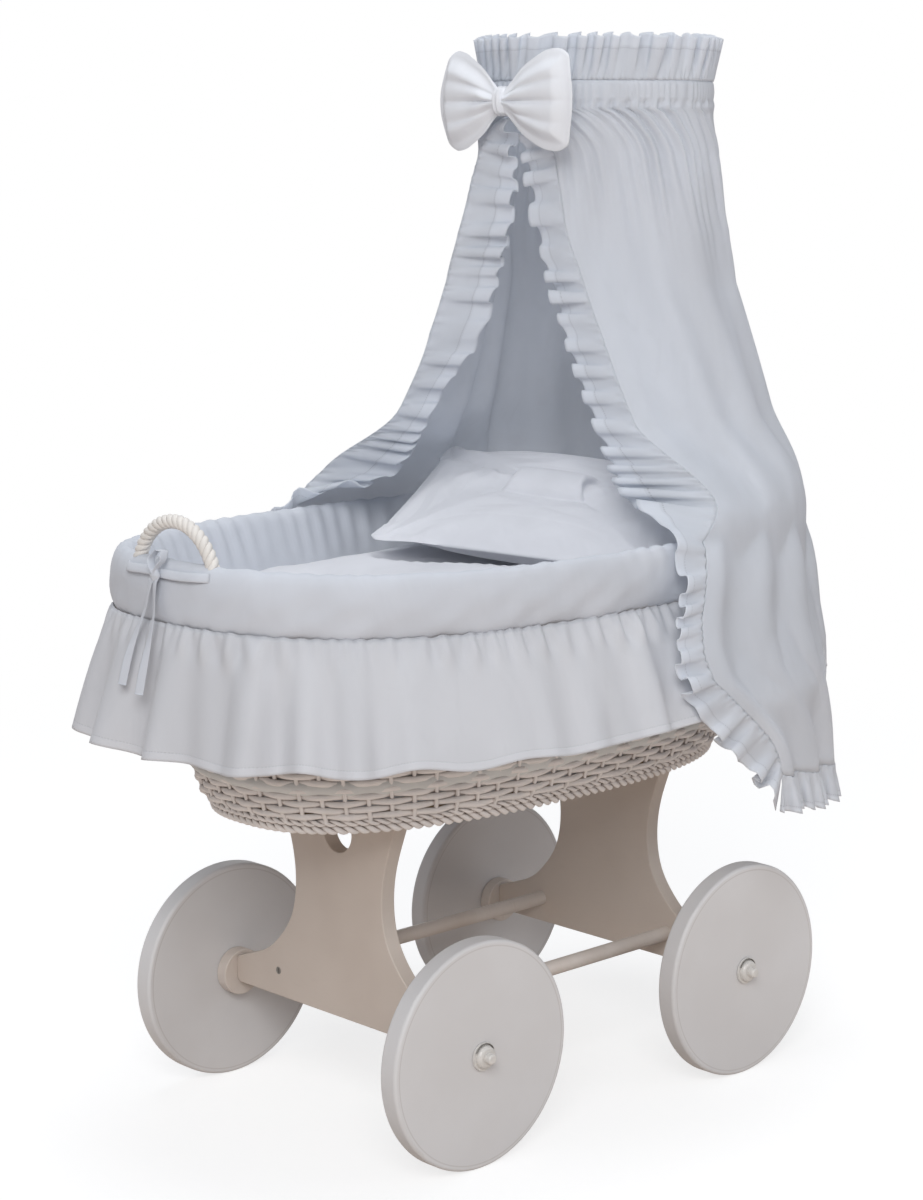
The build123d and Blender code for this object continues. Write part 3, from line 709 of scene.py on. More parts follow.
def puff(piece, voxel, pressure, most):
    """Fills a closed form with air: an even remesh, then cloth under pressure without gravity,
    its moves capped, so that seams tighten and the faces crown and crease."""
    bpy.context.view_layer.objects.active = piece
    mod = piece.modifiers.new("even", "REMESH")
    mod.mode, mod.voxel_size = "VOXEL", voxel
    bake_modifiers(piece)
    before = read_points(piece.data)
    mod = piece.modifiers.new("fill", "CLOTH")
    cloth = mod.settings
    cloth.quality = 5
    cloth.mass = 0.2
    cloth.tension_stiffness = cloth.compression_stiffness = 25
    cloth.shear_stiffness = 8
    cloth.bending_stiffness = 0.6
    cloth.use_pressure = True
    cloth.uniform_pressure_force = pressure
    cloth.shrink_min = PUFF_SHRINK
    cloth.effector_weights.gravity = 0
    mod.point_cache.frame_start, mod.point_cache.frame_end = 1, PUFF_FRAMES
    for step in range(1, PUFF_FRAMES + 1):
        bpy.context.scene.frame_set(step)
    bake_modifiers(piece)
    cap_moves(piece.data, before, most)
    bpy.context.scene.frame_set(1)
    piece.data.polygons.foreach_set("use_smooth", np.ones(len(piece.data.polygons), bool))


def bake_modifiers(piece):
    """Replaces a piece's mesh by the mesh that its modifiers make, and drops them."""
    graph = bpy.context.evaluated_depsgraph_get()
    made = bpy.data.meshes.new_from_object(piece.evaluated_get(graph))
    piece.modifiers.clear()
    old, name = piece.data, piece.data.name
    piece.data = made
    bpy.data.meshes.remove(old)
    made.name = name


def pad_grid(count, squareness):
    """Directions over a closed pad, pole to pole along its height, as unit-square x, y and z."""
    lift = np.linspace(-np.pi / 2, np.pi / 2, count[1])[:, None]
    turn = (np.arange(count[0]) * 2 * np.pi / count[0])[None, :]
    power = 2 / squareness
    c, s = np.cos(turn), np.sin(turn)
    x = np.cos(lift) ** 0.55 * np.sign(c) * np.abs(c) ** power
    y = np.cos(lift) ** 0.55 * np.sign(s) * np.abs(s) ** power
    return x, y, np.sin(lift) + 0 * turn


def closed_pad(name, x, y, z):
    """Closed mesh from pole-to-pole rings, doubles at the poles merged, normals outwards."""
    rows, columns = x.shape
    piece = make_piece(name, np.stack([x, y, z], -1), [grid_faces(rows, columns, False, True)])
    tidy = bmesh.new()
    tidy.from_mesh(piece.data)
    bmesh.ops.remove_doubles(tidy, verts=tidy.verts, dist=1e-6)
    bmesh.ops.recalc_face_normals(tidy, faces=tidy.faces)
    tidy.to_mesh(piece.data)
    tidy.free()
    return piece


def smooth_once(piece):
    """One subdivision that shows alike in the view and in the render."""
    mod = piece.modifiers.new("soft", "SUBSURF")
    mod.levels = mod.render_levels = 1


def add_box_map(piece):
    """Map for the weave of a remeshed piece: plan place of each corner in metres."""
    mesh = piece.data
    index = np.zeros(len(mesh.loops), np.int32)
    mesh.loops.foreach_get("vertex_index", index)
    layer = mesh.uv_layers.new(name="cloth")
    plan = read_points(mesh)[index][:, :2]
    layer.data.foreach_set("uv", plan.astype(np.float32).ravel())


x, y, z = pad_grid((160, 40), SQUARENESS)
low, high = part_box("mattress")
middle = (Vector(low) + Vector(high)) / 2
half = (Vector(high) - Vector(low)) / 2
buttons = 0.004 * (np.cos(x * np.pi * 5) * np.cos(y * np.pi * 3)) ** 2 * (z > 0)
mattress = closed_pad("mattress_pad", x * half.x, y * half.y,
                      middle.z + z * (half.z - 0.0005) - buttons * (z > 0.3))
mattress.data.materials.append(cotton("mattress_ticking", (0.70, 0.70, 0.68, 1), crinkle=0.6))
add_box_map(mattress)
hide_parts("mattress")
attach(mattress, "carriage")

DUVET_LOW = 0.4705
DUVET_EDGE_Z = 0.606
DUVET_CROWN = 0.634
x, y, z = pad_grid((200, 56), SQUARENESS)
reach = np.clip(np.sqrt(np.abs(x) ** SQUARENESS + np.abs(y) ** SQUARENESS), 0, 1)
top_a, top_b = half_sizes(0.600)
low_a, low_b = half_sizes(0.500)
blend = np.clip((z + 1) / 2, 0, 1)
plan_x = x * (low_a + (top_a - low_a) * blend - 0.014)
plan_y = y * (low_b + (top_b - low_b) * blend - 0.014)
crown = DUVET_EDGE_Z + (DUVET_CROWN - DUVET_EDGE_Z) * np.clip(1 - reach ** 2.2, 0, 1) ** 0.7
swell = 0.0045 * ripple(plan_x * 1.1, plan_y * 1.3, (1, 3), 4.0, 21, 6)
upper = np.clip((z + 0.15) / 1.0, 0, 1)
duvet = closed_pad("duvet_soft", plan_x, plan_y,
                   DUVET_LOW + 0.006 + (crown + swell - DUVET_LOW - 0.006) * upper ** 0.55)
puff(duvet, 0.008, 2.0, 0.006)


def sink_under_pillow(piece, depth):
    """Presses the duvet down under the pillow: points above the pillow's underside, a tilted
    plane over its outline, are lowered to it, and less so just outside the outline."""
    co = read_points(piece.data)
    local = co - np.array(PILLOW_AT)
    c, s = math.cos(PILLOW_TURN), math.sin(PILLOW_TURN)
    px, py = local[:, 0] * c + local[:, 1] * s, -local[:, 0] * s + local[:, 1] * c
    sx, sy = np.abs(px) / (PILLOW_SIZE[0] / 2), np.abs(py) / (PILLOW_SIZE[1] / 2)
    inside = np.clip(1.15 - np.maximum(sx, sy), 0, 0.25) / 0.25
    hollow = np.clip(1 - sx ** 4, 0, 1) * np.clip(1 - sy ** 4, 0, 1)
    plane = PILLOW_AT[2] - px * math.tan(PILLOW_TILT) + py * math.tan(PILLOW_ROLL)
    plane = plane - depth * hollow ** 0.4
    co[:, 2] -= np.clip(co[:, 2] - plane, 0, None) * inside
    write_points(piece.data, co)


sink_under_pillow(duvet, PILLOW_SIZE[2] / 2 + 0.002)
bed_cotton = cotton("bed_cotton", BED_COTTON, crinkle=0.30)
duvet.data.materials.append(bed_cotton)
add_box_map(duvet)
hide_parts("duvet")
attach(duvet, "carriage")

x, y, z = pad_grid((176, 44), PILLOW_SQUARENESS)
edge = np.clip(np.maximum(np.abs(x), np.abs(y)), 0, 1)
pinch = 1 - 0.045 * (1 - np.abs(y) ** 2) * np.abs(x) ** 6
pinch_y = 1 - 0.045 * (1 - np.abs(x) ** 2) * np.abs(y) ** 6
loft = z * np.clip(1 - edge ** 3.2, 0.05, 1) ** 0.75
pillow = closed_pad("pillow_soft", x * pinch * PILLOW_SIZE[0] / 2, y * pinch_y * PILLOW_SIZE[1] / 2,
                    loft * PILLOW_SIZE[2] * PILLOW_LOFT)
puff(pillow, 0.005, 3.0, 0.014)
place = (Matrix.Translation(PILLOW_AT) @ Matrix.Rotation(PILLOW_TURN, 4, "Z")
         @ Matrix.Rotation(PILLOW_TILT, 4, "Y") @ Matrix.Rotation(PILLOW_ROLL, 4, "X"))
pillow.data.transform(place)
pillow.data.update()
pillow.data.materials.append(bed_cotton)
add_box_map(pillow)
smooth_once(pillow)
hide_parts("pillow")
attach(pillow, "carriage")


# Liner: one piece of cotton that lines the basket inside, rolls over the rim on thin padding and
# comes down outside as a smooth band. Drawn tight outside, it lies in small gathers inside.
LINER_PATH = np.array([   # half length, half width, height, from inside low to outside low
    (353.8, 177.6, 404), (379.5, 198.5, 480), (400.2, 220.5, 560), (418.2, 239.7, 630),
    (425.5, 247.5, 655), (429.5, 251.8, 667), (436, 258, 674.2), (442, 262, 675),
    (449.5, 267, 670.5), (455.5, 271, 659), (458.3, 273, 642), (458, 270, 620),
    (455.5, 264.5, 609), (450, 258, 604), (438, 249.5, 603), (429, 247.5, 605)]) * MM
RIM_RISE = 0.008
# Painted shade: a darker copy of the bed's white cotton for the lower light on the liner, its
# bindings and the tie.
LINER_COTTON_SHADED = (0.60, 0.625, 0.675, 1)
LINER_AROUND, LINER_DOWN = 520, 60


def glide(at, knots, values):
    """Smooth curve through values at knots, whose slopes are the mean of both neighbours' and
    zero where they turn, so that it never swings past them."""
    values = np.asarray(values, float)
    at = np.asarray(at, float)
    flat = values.reshape(len(knots), -1)
    step = np.diff(knots)[:, None]
    rate = np.diff(flat, axis=0) / step
    slope = np.zeros_like(flat)
    before, after = rate[:-1], rate[1:]
    same = before * after > 0
    total = np.where(same, before + after, 1)
    slope[1:-1] = np.where(same, 2 * before * after / total, 0)
    slope[0], slope[-1] = rate[0], rate[-1]
    i = np.clip(np.searchsorted(knots, at.ravel(), "right") - 1, 0, len(knots) - 2)
    h = step[i]
    t = (np.clip(at.ravel(), knots[0], knots[-1])[:, None] - np.asarray(knots)[i][:, None]) / h
    t2, t3 = t * t, t * t * t
    made = ((2 * t3 - 3 * t2 + 1) * flat[i] + (t3 - 2 * t2 + t) * h * slope[i]
            + (3 * t2 - 2 * t3) * flat[i + 1] + (t3 - t2) * h * slope[i + 1])
    return made.reshape(at.shape + values.shape[1:])


def path_share(path):
    """Share of its length at which each point of a path lies."""
    step = np.linalg.norm(np.diff(path, axis=0), axis=1)
    return np.concatenate([[0], np.cumsum(step)]) / step.sum()


def grid_normals(points, wrap):
    """Unit vectors square to a grid of points, from the cross product of its two directions."""
    return unit(np.cross(direction(points, 0, wrap), np.gradient(points, axis=1)))


def lengths_along(points, axis):
    """Distance along a grid of points in one direction, started from its first line."""
    step = np.linalg.norm(np.diff(points, axis=axis), axis=-1)
    zero = np.zeros_like(np.take(step, [0], axis=axis))
    return np.cumsum(np.concatenate([zero, step], axis=axis), axis=axis)


def thicken(piece, thickness, offset=0.0):
    """Gives a sheet its cloth thickness."""
    mod = piece.modifiers.new("cloth_thickness", "SOLIDIFY")
    mod.thickness, mod.offset = thickness, offset


def rim_lift(x, share):
    """The rim rises towards both ends: the rise times the fourth power of the way to the end."""
    return RIM_RISE * share * np.abs(x / 0.44) ** 4


share = path_share(LINER_PATH)
u = (np.arange(LINER_AROUND) / LINER_AROUND)[:, None]
v = np.linspace(0, 1, LINER_DOWN)[None, :]
size = glide(v, share, LINER_PATH)
x, y = oval(size[..., 0], size[..., 1], round_angle(u))
z = size[..., 2] + 0 * u
lift = glide(v, share, np.clip((LINER_PATH[:, 2] - 0.48) / 0.12, 0, 1))
points = np.stack([x, y, z + rim_lift(x, lift)], -1)
inside_high = np.exp(-((v - share[4]) / 0.09) ** 2)
outside = np.clip((v - share[9]) / 0.06, 0, 1)
gathers = 0.0022 * np.cos(2 * np.pi * (88 * u + 0.6 * ripple(u, v, (3, 9), 0.5, 31, 5))) \
    * (0.6 + 0.4 * ripple(u, 0 * v, (4, 21), 0, 32))
slack = 0.0006 * ripple(u, v, (9, 34), 9, 33, 9) + 0.0005 * ripple(u, v, (30, 70), 14, 34, 9)
points = points + grid_normals(points, True) * (
    gathers * inside_high + slack * (0.35 + outside))[..., None]
faces = grid_faces(LINER_AROUND, LINER_DOWN, True)
closed_points = np.concatenate([points, points[:1]], 0)
maps = grid_maps(lengths_along(closed_points, 0)[:, :1] + 0 * v, lengths_along(closed_points, 1))
liner = make_piece("liner_band", points, [faces[:, ::-1]], [maps[:, ::-1]])
thicken(liner, 0.0012, -1)
liner.data.materials.append(cotton("liner_cotton", LINER_COTTON_SHADED, crinkle=0.55,
                                   wrinkle_scale=(1, 1, 0.6)))
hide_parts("liner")
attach(liner, "carriage")


# Skirt: a strip of cotton gathered on to the lower edge of the band and hemmed below. It hangs
# free in soft uneven folds and stands well out at the foot end.
SKIRT_TOP = np.array([0.4575, 0.2650])
SKIRT_TOP_Z = 0.6078
SKIRT_DROP = 0.1248
FOOT_FLARE, HEAD_FLARE, SIDE_FLARE = 0.036, 0.0015, 0.058
FOOT_DROP = 0.006
CANOPY_TUCK = 0.014
SKIRT_AROUND, SKIRT_DOWN = 760, 44
SKIRT_HEM = 0.008
# Painted shade: a darker copy of the bed's white cotton for the lower light on the skirt.
SKIRT_COTTON_SHADED = (0.59, 0.60, 0.63, 1)


def skirt_base(u, t):
    """Skirt without folds: ovals that widen from the seam down, more at the foot end than at the
    head end, where the canopy holds them in."""
    spread = t ** 0.8
    c, s = oval(1.0, 1.0, round_angle(u))
    foot = np.clip(0.5 - c * 2.5, 0, 1)
    long = SKIRT_TOP[0] + (HEAD_FLARE + (FOOT_FLARE - HEAD_FLARE) * foot) * spread
    wide = SKIRT_TOP[1] + SIDE_FLARE * spread
    tuck = CANOPY_TUCK * spread * np.clip(c * 4, 0, 1) * np.abs(s)
    x, y = c * long, s * wide - np.sign(s) * tuck
    z = SKIRT_TOP_Z - SKIRT_DROP * t + rim_lift(x, 1 - t) - FOOT_DROP * foot * t
    return np.stack([x, y, z + 0 * u], -1)


u = (np.arange(SKIRT_AROUND) / SKIRT_AROUND)[:, None]
t = np.linspace(0, 1, SKIRT_DOWN)[None, :] ** 0.9
points = skirt_base(u, t)
out = grid_normals(points, True)
folds = (0.55 * ripple(u + 0.004 * t, 0.2 * t, (19, 30), 0.3, 41, 4)
         + 0.45 * ripple(u, 0.4 * t, (34, 52), 0.5, 42, 5))
folds = np.sign(folds) * np.abs(folds) ** 0.85 * (1 + 0.55 * ripple(u, 0 * t, (3, 9), 0, 46, 5))
puckers = np.cos(2 * np.pi * (150 * u + 0.5 * ripple(u, 0 * t, (5, 19), 0, 43)))
depth = 0.0105 * t ** 0.85 * folds + 0.0015 * np.exp(-(t / 0.16) ** 2) * puckers \
    + 0.0028 * np.exp(-((t - 0.13) / 0.12) ** 2) * ripple(u, t, (60, 95), 1, 44)
points = points + out * (-depth)[..., None]
points[..., 2] += 0.0035 * t * ripple(u, 0 * t, (9, 24), 0, 45)
faces = grid_faces(SKIRT_AROUND, SKIRT_DOWN, True)
closed_points = np.concatenate([points, points[:1]], 0)
maps = grid_maps(lengths_along(closed_points, 0)[:, :1] + 0 * t,
                 SKIRT_DROP * t + 0 * np.arange(SKIRT_AROUND + 1)[:, None])
skirt = make_piece("skirt_cloth", points, [faces], [maps])
thicken(skirt, 0.0011)
skirt.data.materials.append(cotton(
    "skirt_cotton", SKIRT_COTTON_SHADED, crinkle=0.5, wrinkle_scale=(1, 1, 0.4), hem=SKIRT_DROP - SKIRT_HEM,
    stitch=SKIRT_DROP - SKIRT_HEM))
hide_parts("skirt")
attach(skirt, "carriage")


# Slot bindings and tie: folded tape bound round the slots that the handles come through, and a
# narrow ribbon whose loop and two ends close the slot at the foot end.
BINDING_HALF = 0.071
BINDING_Z = 0.6615
TAPE_HALF = 0.0052


def tape(name, line, across, half, thick):
    """Flat tape along a line: a rounded-edge strip whose width lies along a given direction."""
    along = unit(np.gradient(line, axis=0))
    across = unit(across - along * (across * along).sum(-1, keepdims=True))
    normal = np.cross(along, across)
    return bars(name, line[None], normal[None], np.broadcast_to(
        np.array([thick / 2, half]), (1, len(line), 2)), 12)


binding_cotton_shaded = cotton("binding_cotton_shaded", LINER_COTTON_SHADED, crinkle=0.3, thread=0.0007)
BINDING_OUT = 0.4572
for end, side in (("foot", -1), ("head", 1)):
    s = np.linspace(-1, 1, 60)
    y = BINDING_HALF * s
    bow_in = 0.0010 * (1 - np.abs(s) ** 6) - 0.007 * np.abs(s) ** 8 - 0.0032 * s ** 2
    line = np.stack([side * (BINDING_OUT + bow_in), y,
                     BINDING_Z + rim_lift(BINDING_OUT, 1) + 0.0008 * np.sin(5 * s)], -1)
    up = np.broadcast_to(np.array([side * -0.45, 0, 0.9]), line.shape)
    binding = tape(f"binding_{end}", line, up, TAPE_HALF, 0.0024)
    binding.data.materials.append(binding_cotton_shaded)
    add_box_map(binding)
    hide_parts(f"slot_binding_{end}")
    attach(binding, "carriage")

TIE_X, TIE_Z = -0.4635, 0.6690
RIBBON_HALF = 0.0052
TIE_ROUTES = {   # millimetres from the knot: x, y, z
    "loop": [(0, 0, 0), (-2, 4, 8), (3, 10, 17), (9, 6, 25), (9, -3, 25), (4, -7, 16), (-1, -3, 7),
             (1, 0, 0)],
    "tail_far": [(0, 1, 0), (-4, 5, -8), (-6, 12, -36), (-14, 19, -64), (-23, 23, -92),
                 (-30, 24, -118)],
    "tail_near": [(0, -1, -1), (-4, -2, -9), (-6, -3, -38), (-14, -5, -66), (-24, -7, -95),
                  (-32, -8, -124)],
}
tie_cotton_shaded = cotton("tie_cotton_shaded", LINER_COTTON_SHADED, crinkle=0.25, thread=0.0006)
for name, route in TIE_ROUTES.items():
    route = np.array(route, float) * MM
    at = path_share(route)
    line = glide(np.linspace(0, 1, 64), at, route) + np.array([TIE_X, 0, TIE_Z])
    along = unit(np.gradient(line, axis=0))
    lean = 0.5 * np.sin(np.linspace(0, 5, 64))[:, None]
    across = np.array([[0, 1.0, 0]]) + lean * np.array([[1.0, 0, 0]])
    if name == "loop":
        across = np.array([[1.0, 0.15, 0]]) + 0 * lean
    ribbon = tape(f"tie_{name}", line, across, RIBBON_HALF, 0.0010)
    ribbon.data.materials.append(tie_cotton_shaded)
    add_box_map(ribbon)
    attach(ribbon, "carriage")
x, y, z = pad_grid((24, 14), 2.2)
pleat = 1 + 0.10 * np.cos(4 * np.arctan2(z, y))
knot = closed_pad("tie_knot", x * 0.0045 * pleat + TIE_X - 0.001, y * 0.0062 * pleat,
                  z * 0.0066 * pleat + TIE_Z)
knot.data.materials.append(tie_cotton_shaded)
add_box_map(knot)
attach(knot, "carriage")
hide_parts("tie_foot")


# Canopy: one wide piece of light cotton gathered on to the hoop through a stitched channel. It
# falls from the hoop over the head end, open in front, and hangs outside the skirt on each side.
HOOP_X, CHANNEL_R = 209.0, 137.8
ring_angles = np.radians([0, 24, 46, 90, 134, 180])
ring = [(HOOP_X - CHANNEL_R * math.cos(a), CHANNEL_R * math.sin(a)) for a in ring_angles]
CANOPY_ROWS = [   # height, then the outline from the front round to the back
    (1190, ring),
    (1165, ring),
    (1100, [(66, 0), (78, 46), (96, 62), (209, 142), (325, 112), (372, 0)]),
    (1025, [(50, 0), (66, 50), (99, 63), (215, 144), (340, 118), (399, 0)]),
    (970, [(35, 0), (48, 62), (105, 77), (222, 150), (355, 128), (418, 0)]),
    (890, [(10, 0), (30, 82), (110, 108), (232, 172), (375, 142), (442, 0)]),
    (780, [(-30, 0), (-5, 142), (112, 166), (240, 212), (395, 166), (466, 0)]),
    (715, [(-55, 0), (-14, 204), (113, 208), (245, 236), (405, 180), (478, 0)]),
    (665, [(-85, 0), (-45, 280), (90, 286), (250, 270), (415, 188), (485, 0)]),
    (600, [(-100, 0), (-60, 298), (60, 308), (255, 290), (425, 205), (489, 0)]),
    (480, [(-100, 0), (-60, 326), (110, 328), (265, 314), (435, 226), (498, 0)]),
    (388, [(-100, 0), (-60, 330), (160, 330), (280, 316), (440, 231), (501, 0)]),
]
# Front edges of the cloth on each side, as x and height
EDGE_NEAR = [(70, 1162), (72, 1150), (76, 1135), (82, 1120), (88, 1106), (99, 1025), (105, 972),
             (110, 886), (112, 780), (112, 715), (102, 691), (90, 665), (74, 627), (58, 593),
             (52, 555), (62, 522), (88, 500), (126, 467), (160, 436), (176, 410), (180, 388)]
EDGE_FAR = [(70, 1162), (71, 1150), (74, 1135), (77, 1115), (78, 1083), (67, 1037), (47, 964),
            (33, 893), (10, 830), (-5, 780), (-14, 715), (-30, 690), (-45, 667), (-60, 600),
            (-60, 550), (-40, 510), (10, 470), (50, 430), (60, 388)]
CHANNEL_TOP, MOUTH_TOP, LOWEST = 1190, 1162, 388   # heights in millimetres
CHANNEL_TOP_Z, CHANNEL_MID_Z, CHANNEL_LOW_Z = 1.190, 1.1775, 1.165
CHANNEL_HALF = 0.0135
STITCH_DENT = 0.0022     # how far the dent along each seam of the channel spreads
SPLINE_SAMPLES, ROW_SAMPLES = 1201, 900
CANOPY_AROUND, CANOPY_DOWN = 420, 118
CLOTH_ACROSS = 2.4       # metres of cloth round the canopy, for the weave's map
CANOPY_THIN = 0.46
# Painted light: a lighter copy of the bed's white cotton for the brighter light on the canopy and
# its frills.
CANOPY_COTTON_LIT = (0.86, 0.885, 0.925, 1)


def closed_spline(points, count):
    """Even samples of a closed cubic spline through points, with knots a chord apart and slopes
    that keep its bend continuous."""
    n = len(points)
    chord = np.linalg.norm(np.roll(points, -1, 0) - points, axis=1)
    h, back = chord, np.roll(chord, 1)
    matrix = np.zeros((n, n))
    i = np.arange(n)
    matrix[i, i] = 2 * (h + back)
    matrix[i, (i - 1) % n] = h
    matrix[i, (i + 1) % n] = back
    ahead = (np.roll(points, -1, 0) - points) / h[:, None]
    behind = np.roll(ahead, 1, 0)
    slope = np.linalg.solve(matrix, 3 * (h[:, None] * behind + back[:, None] * ahead))
    knots = np.concatenate([[0], np.cumsum(h)])
    at = np.linspace(0, knots[-1], count)
    k = np.clip(np.searchsorted(knots, at, "right") - 1, 0, n - 1)
    t = ((at - knots[k]) / h[k])[:, None]
    k2, hk = (k + 1) % n, h[k][:, None]
    return ((2 * t ** 3 - 3 * t ** 2 + 1) * points[k] + (t ** 3 - 2 * t ** 2 + t) * hk * slope[k]
            + (3 * t ** 2 - 2 * t ** 3) * points[k2] + (t ** 3 - t ** 2) * hk * slope[k2])


def cloth_row(half, near_x, far_x, share, open_front):
    """Points along one level, from the near front edge round the back to the far one, spaced by
    shares of the way."""
    full = np.concatenate([half * (1, -1), half[-2:0:-1]])
    line = closed_spline(full, SPLINE_SAMPLES)
    start, stop = 0, len(line) - 1
    if open_front:
        back = len(line) // 2
        start = np.interp(near_x, line[:back, 0], np.arange(back))
        stop = len(line) - 1 - np.interp(far_x, line[:back:-1, 0], np.arange(len(line) - 1 - back))
    at = np.linspace(start, stop, ROW_SAMPLES)
    line = np.stack([np.interp(at, np.arange(len(line)), line[:, k]) for k in (0, 1)], -1)
    way = path_share(line)
    return np.stack([np.interp(share, way, line[:, k]) for k in (0, 1)], -1)


# How far the cloth is drawn along the level line across the view, by height: its right side,
# towards the near back, and its left side, towards the far front; and how the hem slopes
ACROSS = np.array([0.7254, -0.6884, 0])
DRAW_RIGHT = [(0.388, -0.036), (0.430, -0.036), (0.560, -0.037), (0.630, -0.028), (0.690, -0.028),
              (0.800, -0.033), (0.950, -0.033), (1.013, -0.020), (1.102, -0.017), (1.165, 0)]
DRAW_LEFT = [(0.388, 0), (0.660, 0.012), (0.710, 0.010), (0.745, 0.003), (0.806, 0), (0.837, -0.006),
             (0.896, -0.017), (0.957, -0.017), (1.016, -0.025), (1.074, -0.021), (1.106, -0.015),
             (1.165, 0)]
HEM_LIFT, HEM_FALL, HEM_TILT_FROM = 0.012, 0.034, 0.600
CLEAR = 0.006            # kept between the canopy and what it hangs outside of
FREE_ABOVE, HELD_BELOW, FREE_BELOW = 0.80, 0.676, 0.43   # heights between which it is kept
RIM_HALF = (0.4595, 0.2740)   # half length and half width round the liner's band


def drawn(table, z):
    """Value of a drawing table at each height."""
    return np.interp(z, [row[0] for row in table], [row[1] for row in table])


def hem_tilt(z, t):
    """Change of height near the hem: up at the near edge, down towards the right side."""
    low = np.clip((HEM_TILT_FROM - z) / (HEM_TILT_FROM - LOWEST * MM), 0, 1)
    return low * (HEM_LIFT - HEM_FALL * t)


def draw_in(points, z):
    """Moves each level across the view: by the right side's value at its right end, by the left
    side's at its left end, and by nothing between the near edge and the hoop's middle."""
    across = points @ ACROSS
    edge = np.minimum(across[:1], across.max(0, keepdims=True) - 0.05)
    right = np.clip((across - edge) / (across.max(0, keepdims=True) - edge), 0, 1)
    middle = HOOP_X * MM * ACROSS[0]
    left = np.clip((middle - across) / (middle - across.min(0, keepdims=True)), 0, 1)
    move = drawn(DRAW_RIGHT, z) * right + drawn(DRAW_LEFT, z) * left
    points = points + move[..., None] * ACROSS
    points[..., 2] += hem_tilt(z, right)
    return points


def smooth_step(share):
    """Eases a share from 0 to 1: three times its square less twice its cube."""
    return share * share * (3 - 2 * share)


def keep_outside(points):
    """Pushes points out of an oval round the rim and the skirt, from the middle of the basket."""
    x, y, z = points[..., 0], points[..., 1], points[..., 2]
    t = np.clip((SKIRT_TOP_Z - z) / SKIRT_DROP, 0, 1) ** 0.8
    long = np.where(z > SKIRT_TOP_Z, RIM_HALF[0], SKIRT_TOP[0] + 0.004 + 0.004 * t) + CLEAR
    wide = np.where(z > SKIRT_TOP_Z, RIM_HALF[1],
                    SKIRT_TOP[1] + 0.004 + (SIDE_FLARE - 0.006) * t) + CLEAR
    reach = (np.abs(x / long) ** SQUARENESS + np.abs(y / wide) ** SQUARENESS) ** (1 / SQUARENESS)
    above = np.clip((FREE_ABOVE - z) / (FREE_ABOVE - HELD_BELOW), 0, 1)
    below = np.clip((z - FREE_BELOW) / (SKIRT_TOP_Z - SKIRT_DROP - FREE_BELOW), 0, 1)
    hold = smooth_step(above) * smooth_step(below)
    grow = 1 + hold * np.clip(1 / np.maximum(reach, 0.5) - 1, 0, None)
    return points * np.stack([grow, grow, 1 + 0 * grow], -1)


row_z = np.array([row[0] for row in CANOPY_ROWS], float)
row_half = np.array([row[1] for row in CANOPY_ROWS], float)
down = np.linspace(0, 1, CANOPY_DOWN)
# Closer rows near the hoop, where the gathers are small
level = CHANNEL_TOP - (CHANNEL_TOP - LOWEST) * (0.25 * down + 0.75 * down ** 1.6)
halves = glide(level, row_z[::-1], row_half[::-1])
near_edge, far_edge = (np.interp(level, [z for _, z in edge[::-1]], [x for x, _ in edge[::-1]])
                       for edge in (EDGE_NEAR, EDGE_FAR))
around = np.linspace(0, 1, CANOPY_AROUND)
plan = np.stack([cloth_row(halves[k], near_edge[k], far_edge[k], around, level[k] < MOUTH_TOP)
                 for k in range(CANOPY_DOWN)], 1)
height = np.broadcast_to(level[None, :, None], plan.shape[:2] + (1,))
points = np.concatenate([plan, height], -1) * MM
u, z = around[:, None], level[None, :] * MM
out = -grid_normals(points, False)
below = np.clip(CHANNEL_LOW_Z - z, 0, None)
puckers = np.cos(2 * np.pi * (92 * u + 0.8 * ripple(u, 0 * z, (5, 17), 0, 51)))
channel = np.clip(1 - np.abs(z - CHANNEL_MID_Z) / CHANNEL_HALF, 0, 1)
stitched = (np.exp(-((z - CHANNEL_LOW_Z) / STITCH_DENT) ** 2)
            + np.exp(-((z - CHANNEL_TOP_Z) / STITCH_DENT) ** 2))
fan = ripple(u, 3.0 * z, (30, 56), 0.4, 52, 6)
long_folds = (0.6 * ripple(u, 0.5 * z, (7, 12), 0.35, 53, 4)
              + 0.4 * ripple(u, 0.8 * z, (13, 20), 0.5, 54, 4))
edge_fade = np.clip(np.minimum(u, 1 - u) / 0.03, 0, 1) * 0.8 + 0.2
offset = (0.0006 * channel ** 0.5 + 0.0008 * puckers * (0.5 + channel) * (below < 1e-9)
          - 0.0018 * stitched
          + 0.0016 * puckers * np.exp(-below / 0.016) * (below > 0)
          + 0.0034 * fan * np.exp(-((below - 0.055) / 0.075) ** 2) * (below > 0)
          + (0.0022 + 0.011 * np.clip(below / 0.75, 0, 1) ** 1.3) * (long_folds - 0.4)
          * np.clip(below / 0.12, 0, 1) * edge_fade)
points = points + out * offset[..., None]
canopy_points = keep_outside(draw_in(points, level * MM))
maps = grid_maps(CLOTH_ACROSS * u, CHANNEL_TOP * MM - z)
canopy = make_piece("canopy_cloth", canopy_points,
                    [grid_faces(CANOPY_AROUND, CANOPY_DOWN)[:, ::-1]], [maps[:, ::-1]])
thicken(canopy, 0.0009)
canopy_cotton = cotton("canopy_cotton", CANOPY_COTTON_LIT, crinkle=0.30, wrinkle_scale=(1, 1, 0.35),
                       thin=CANOPY_THIN)
canopy.data.materials.append(canopy_cotton)
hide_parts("canopy")
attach(canopy, "canopy")


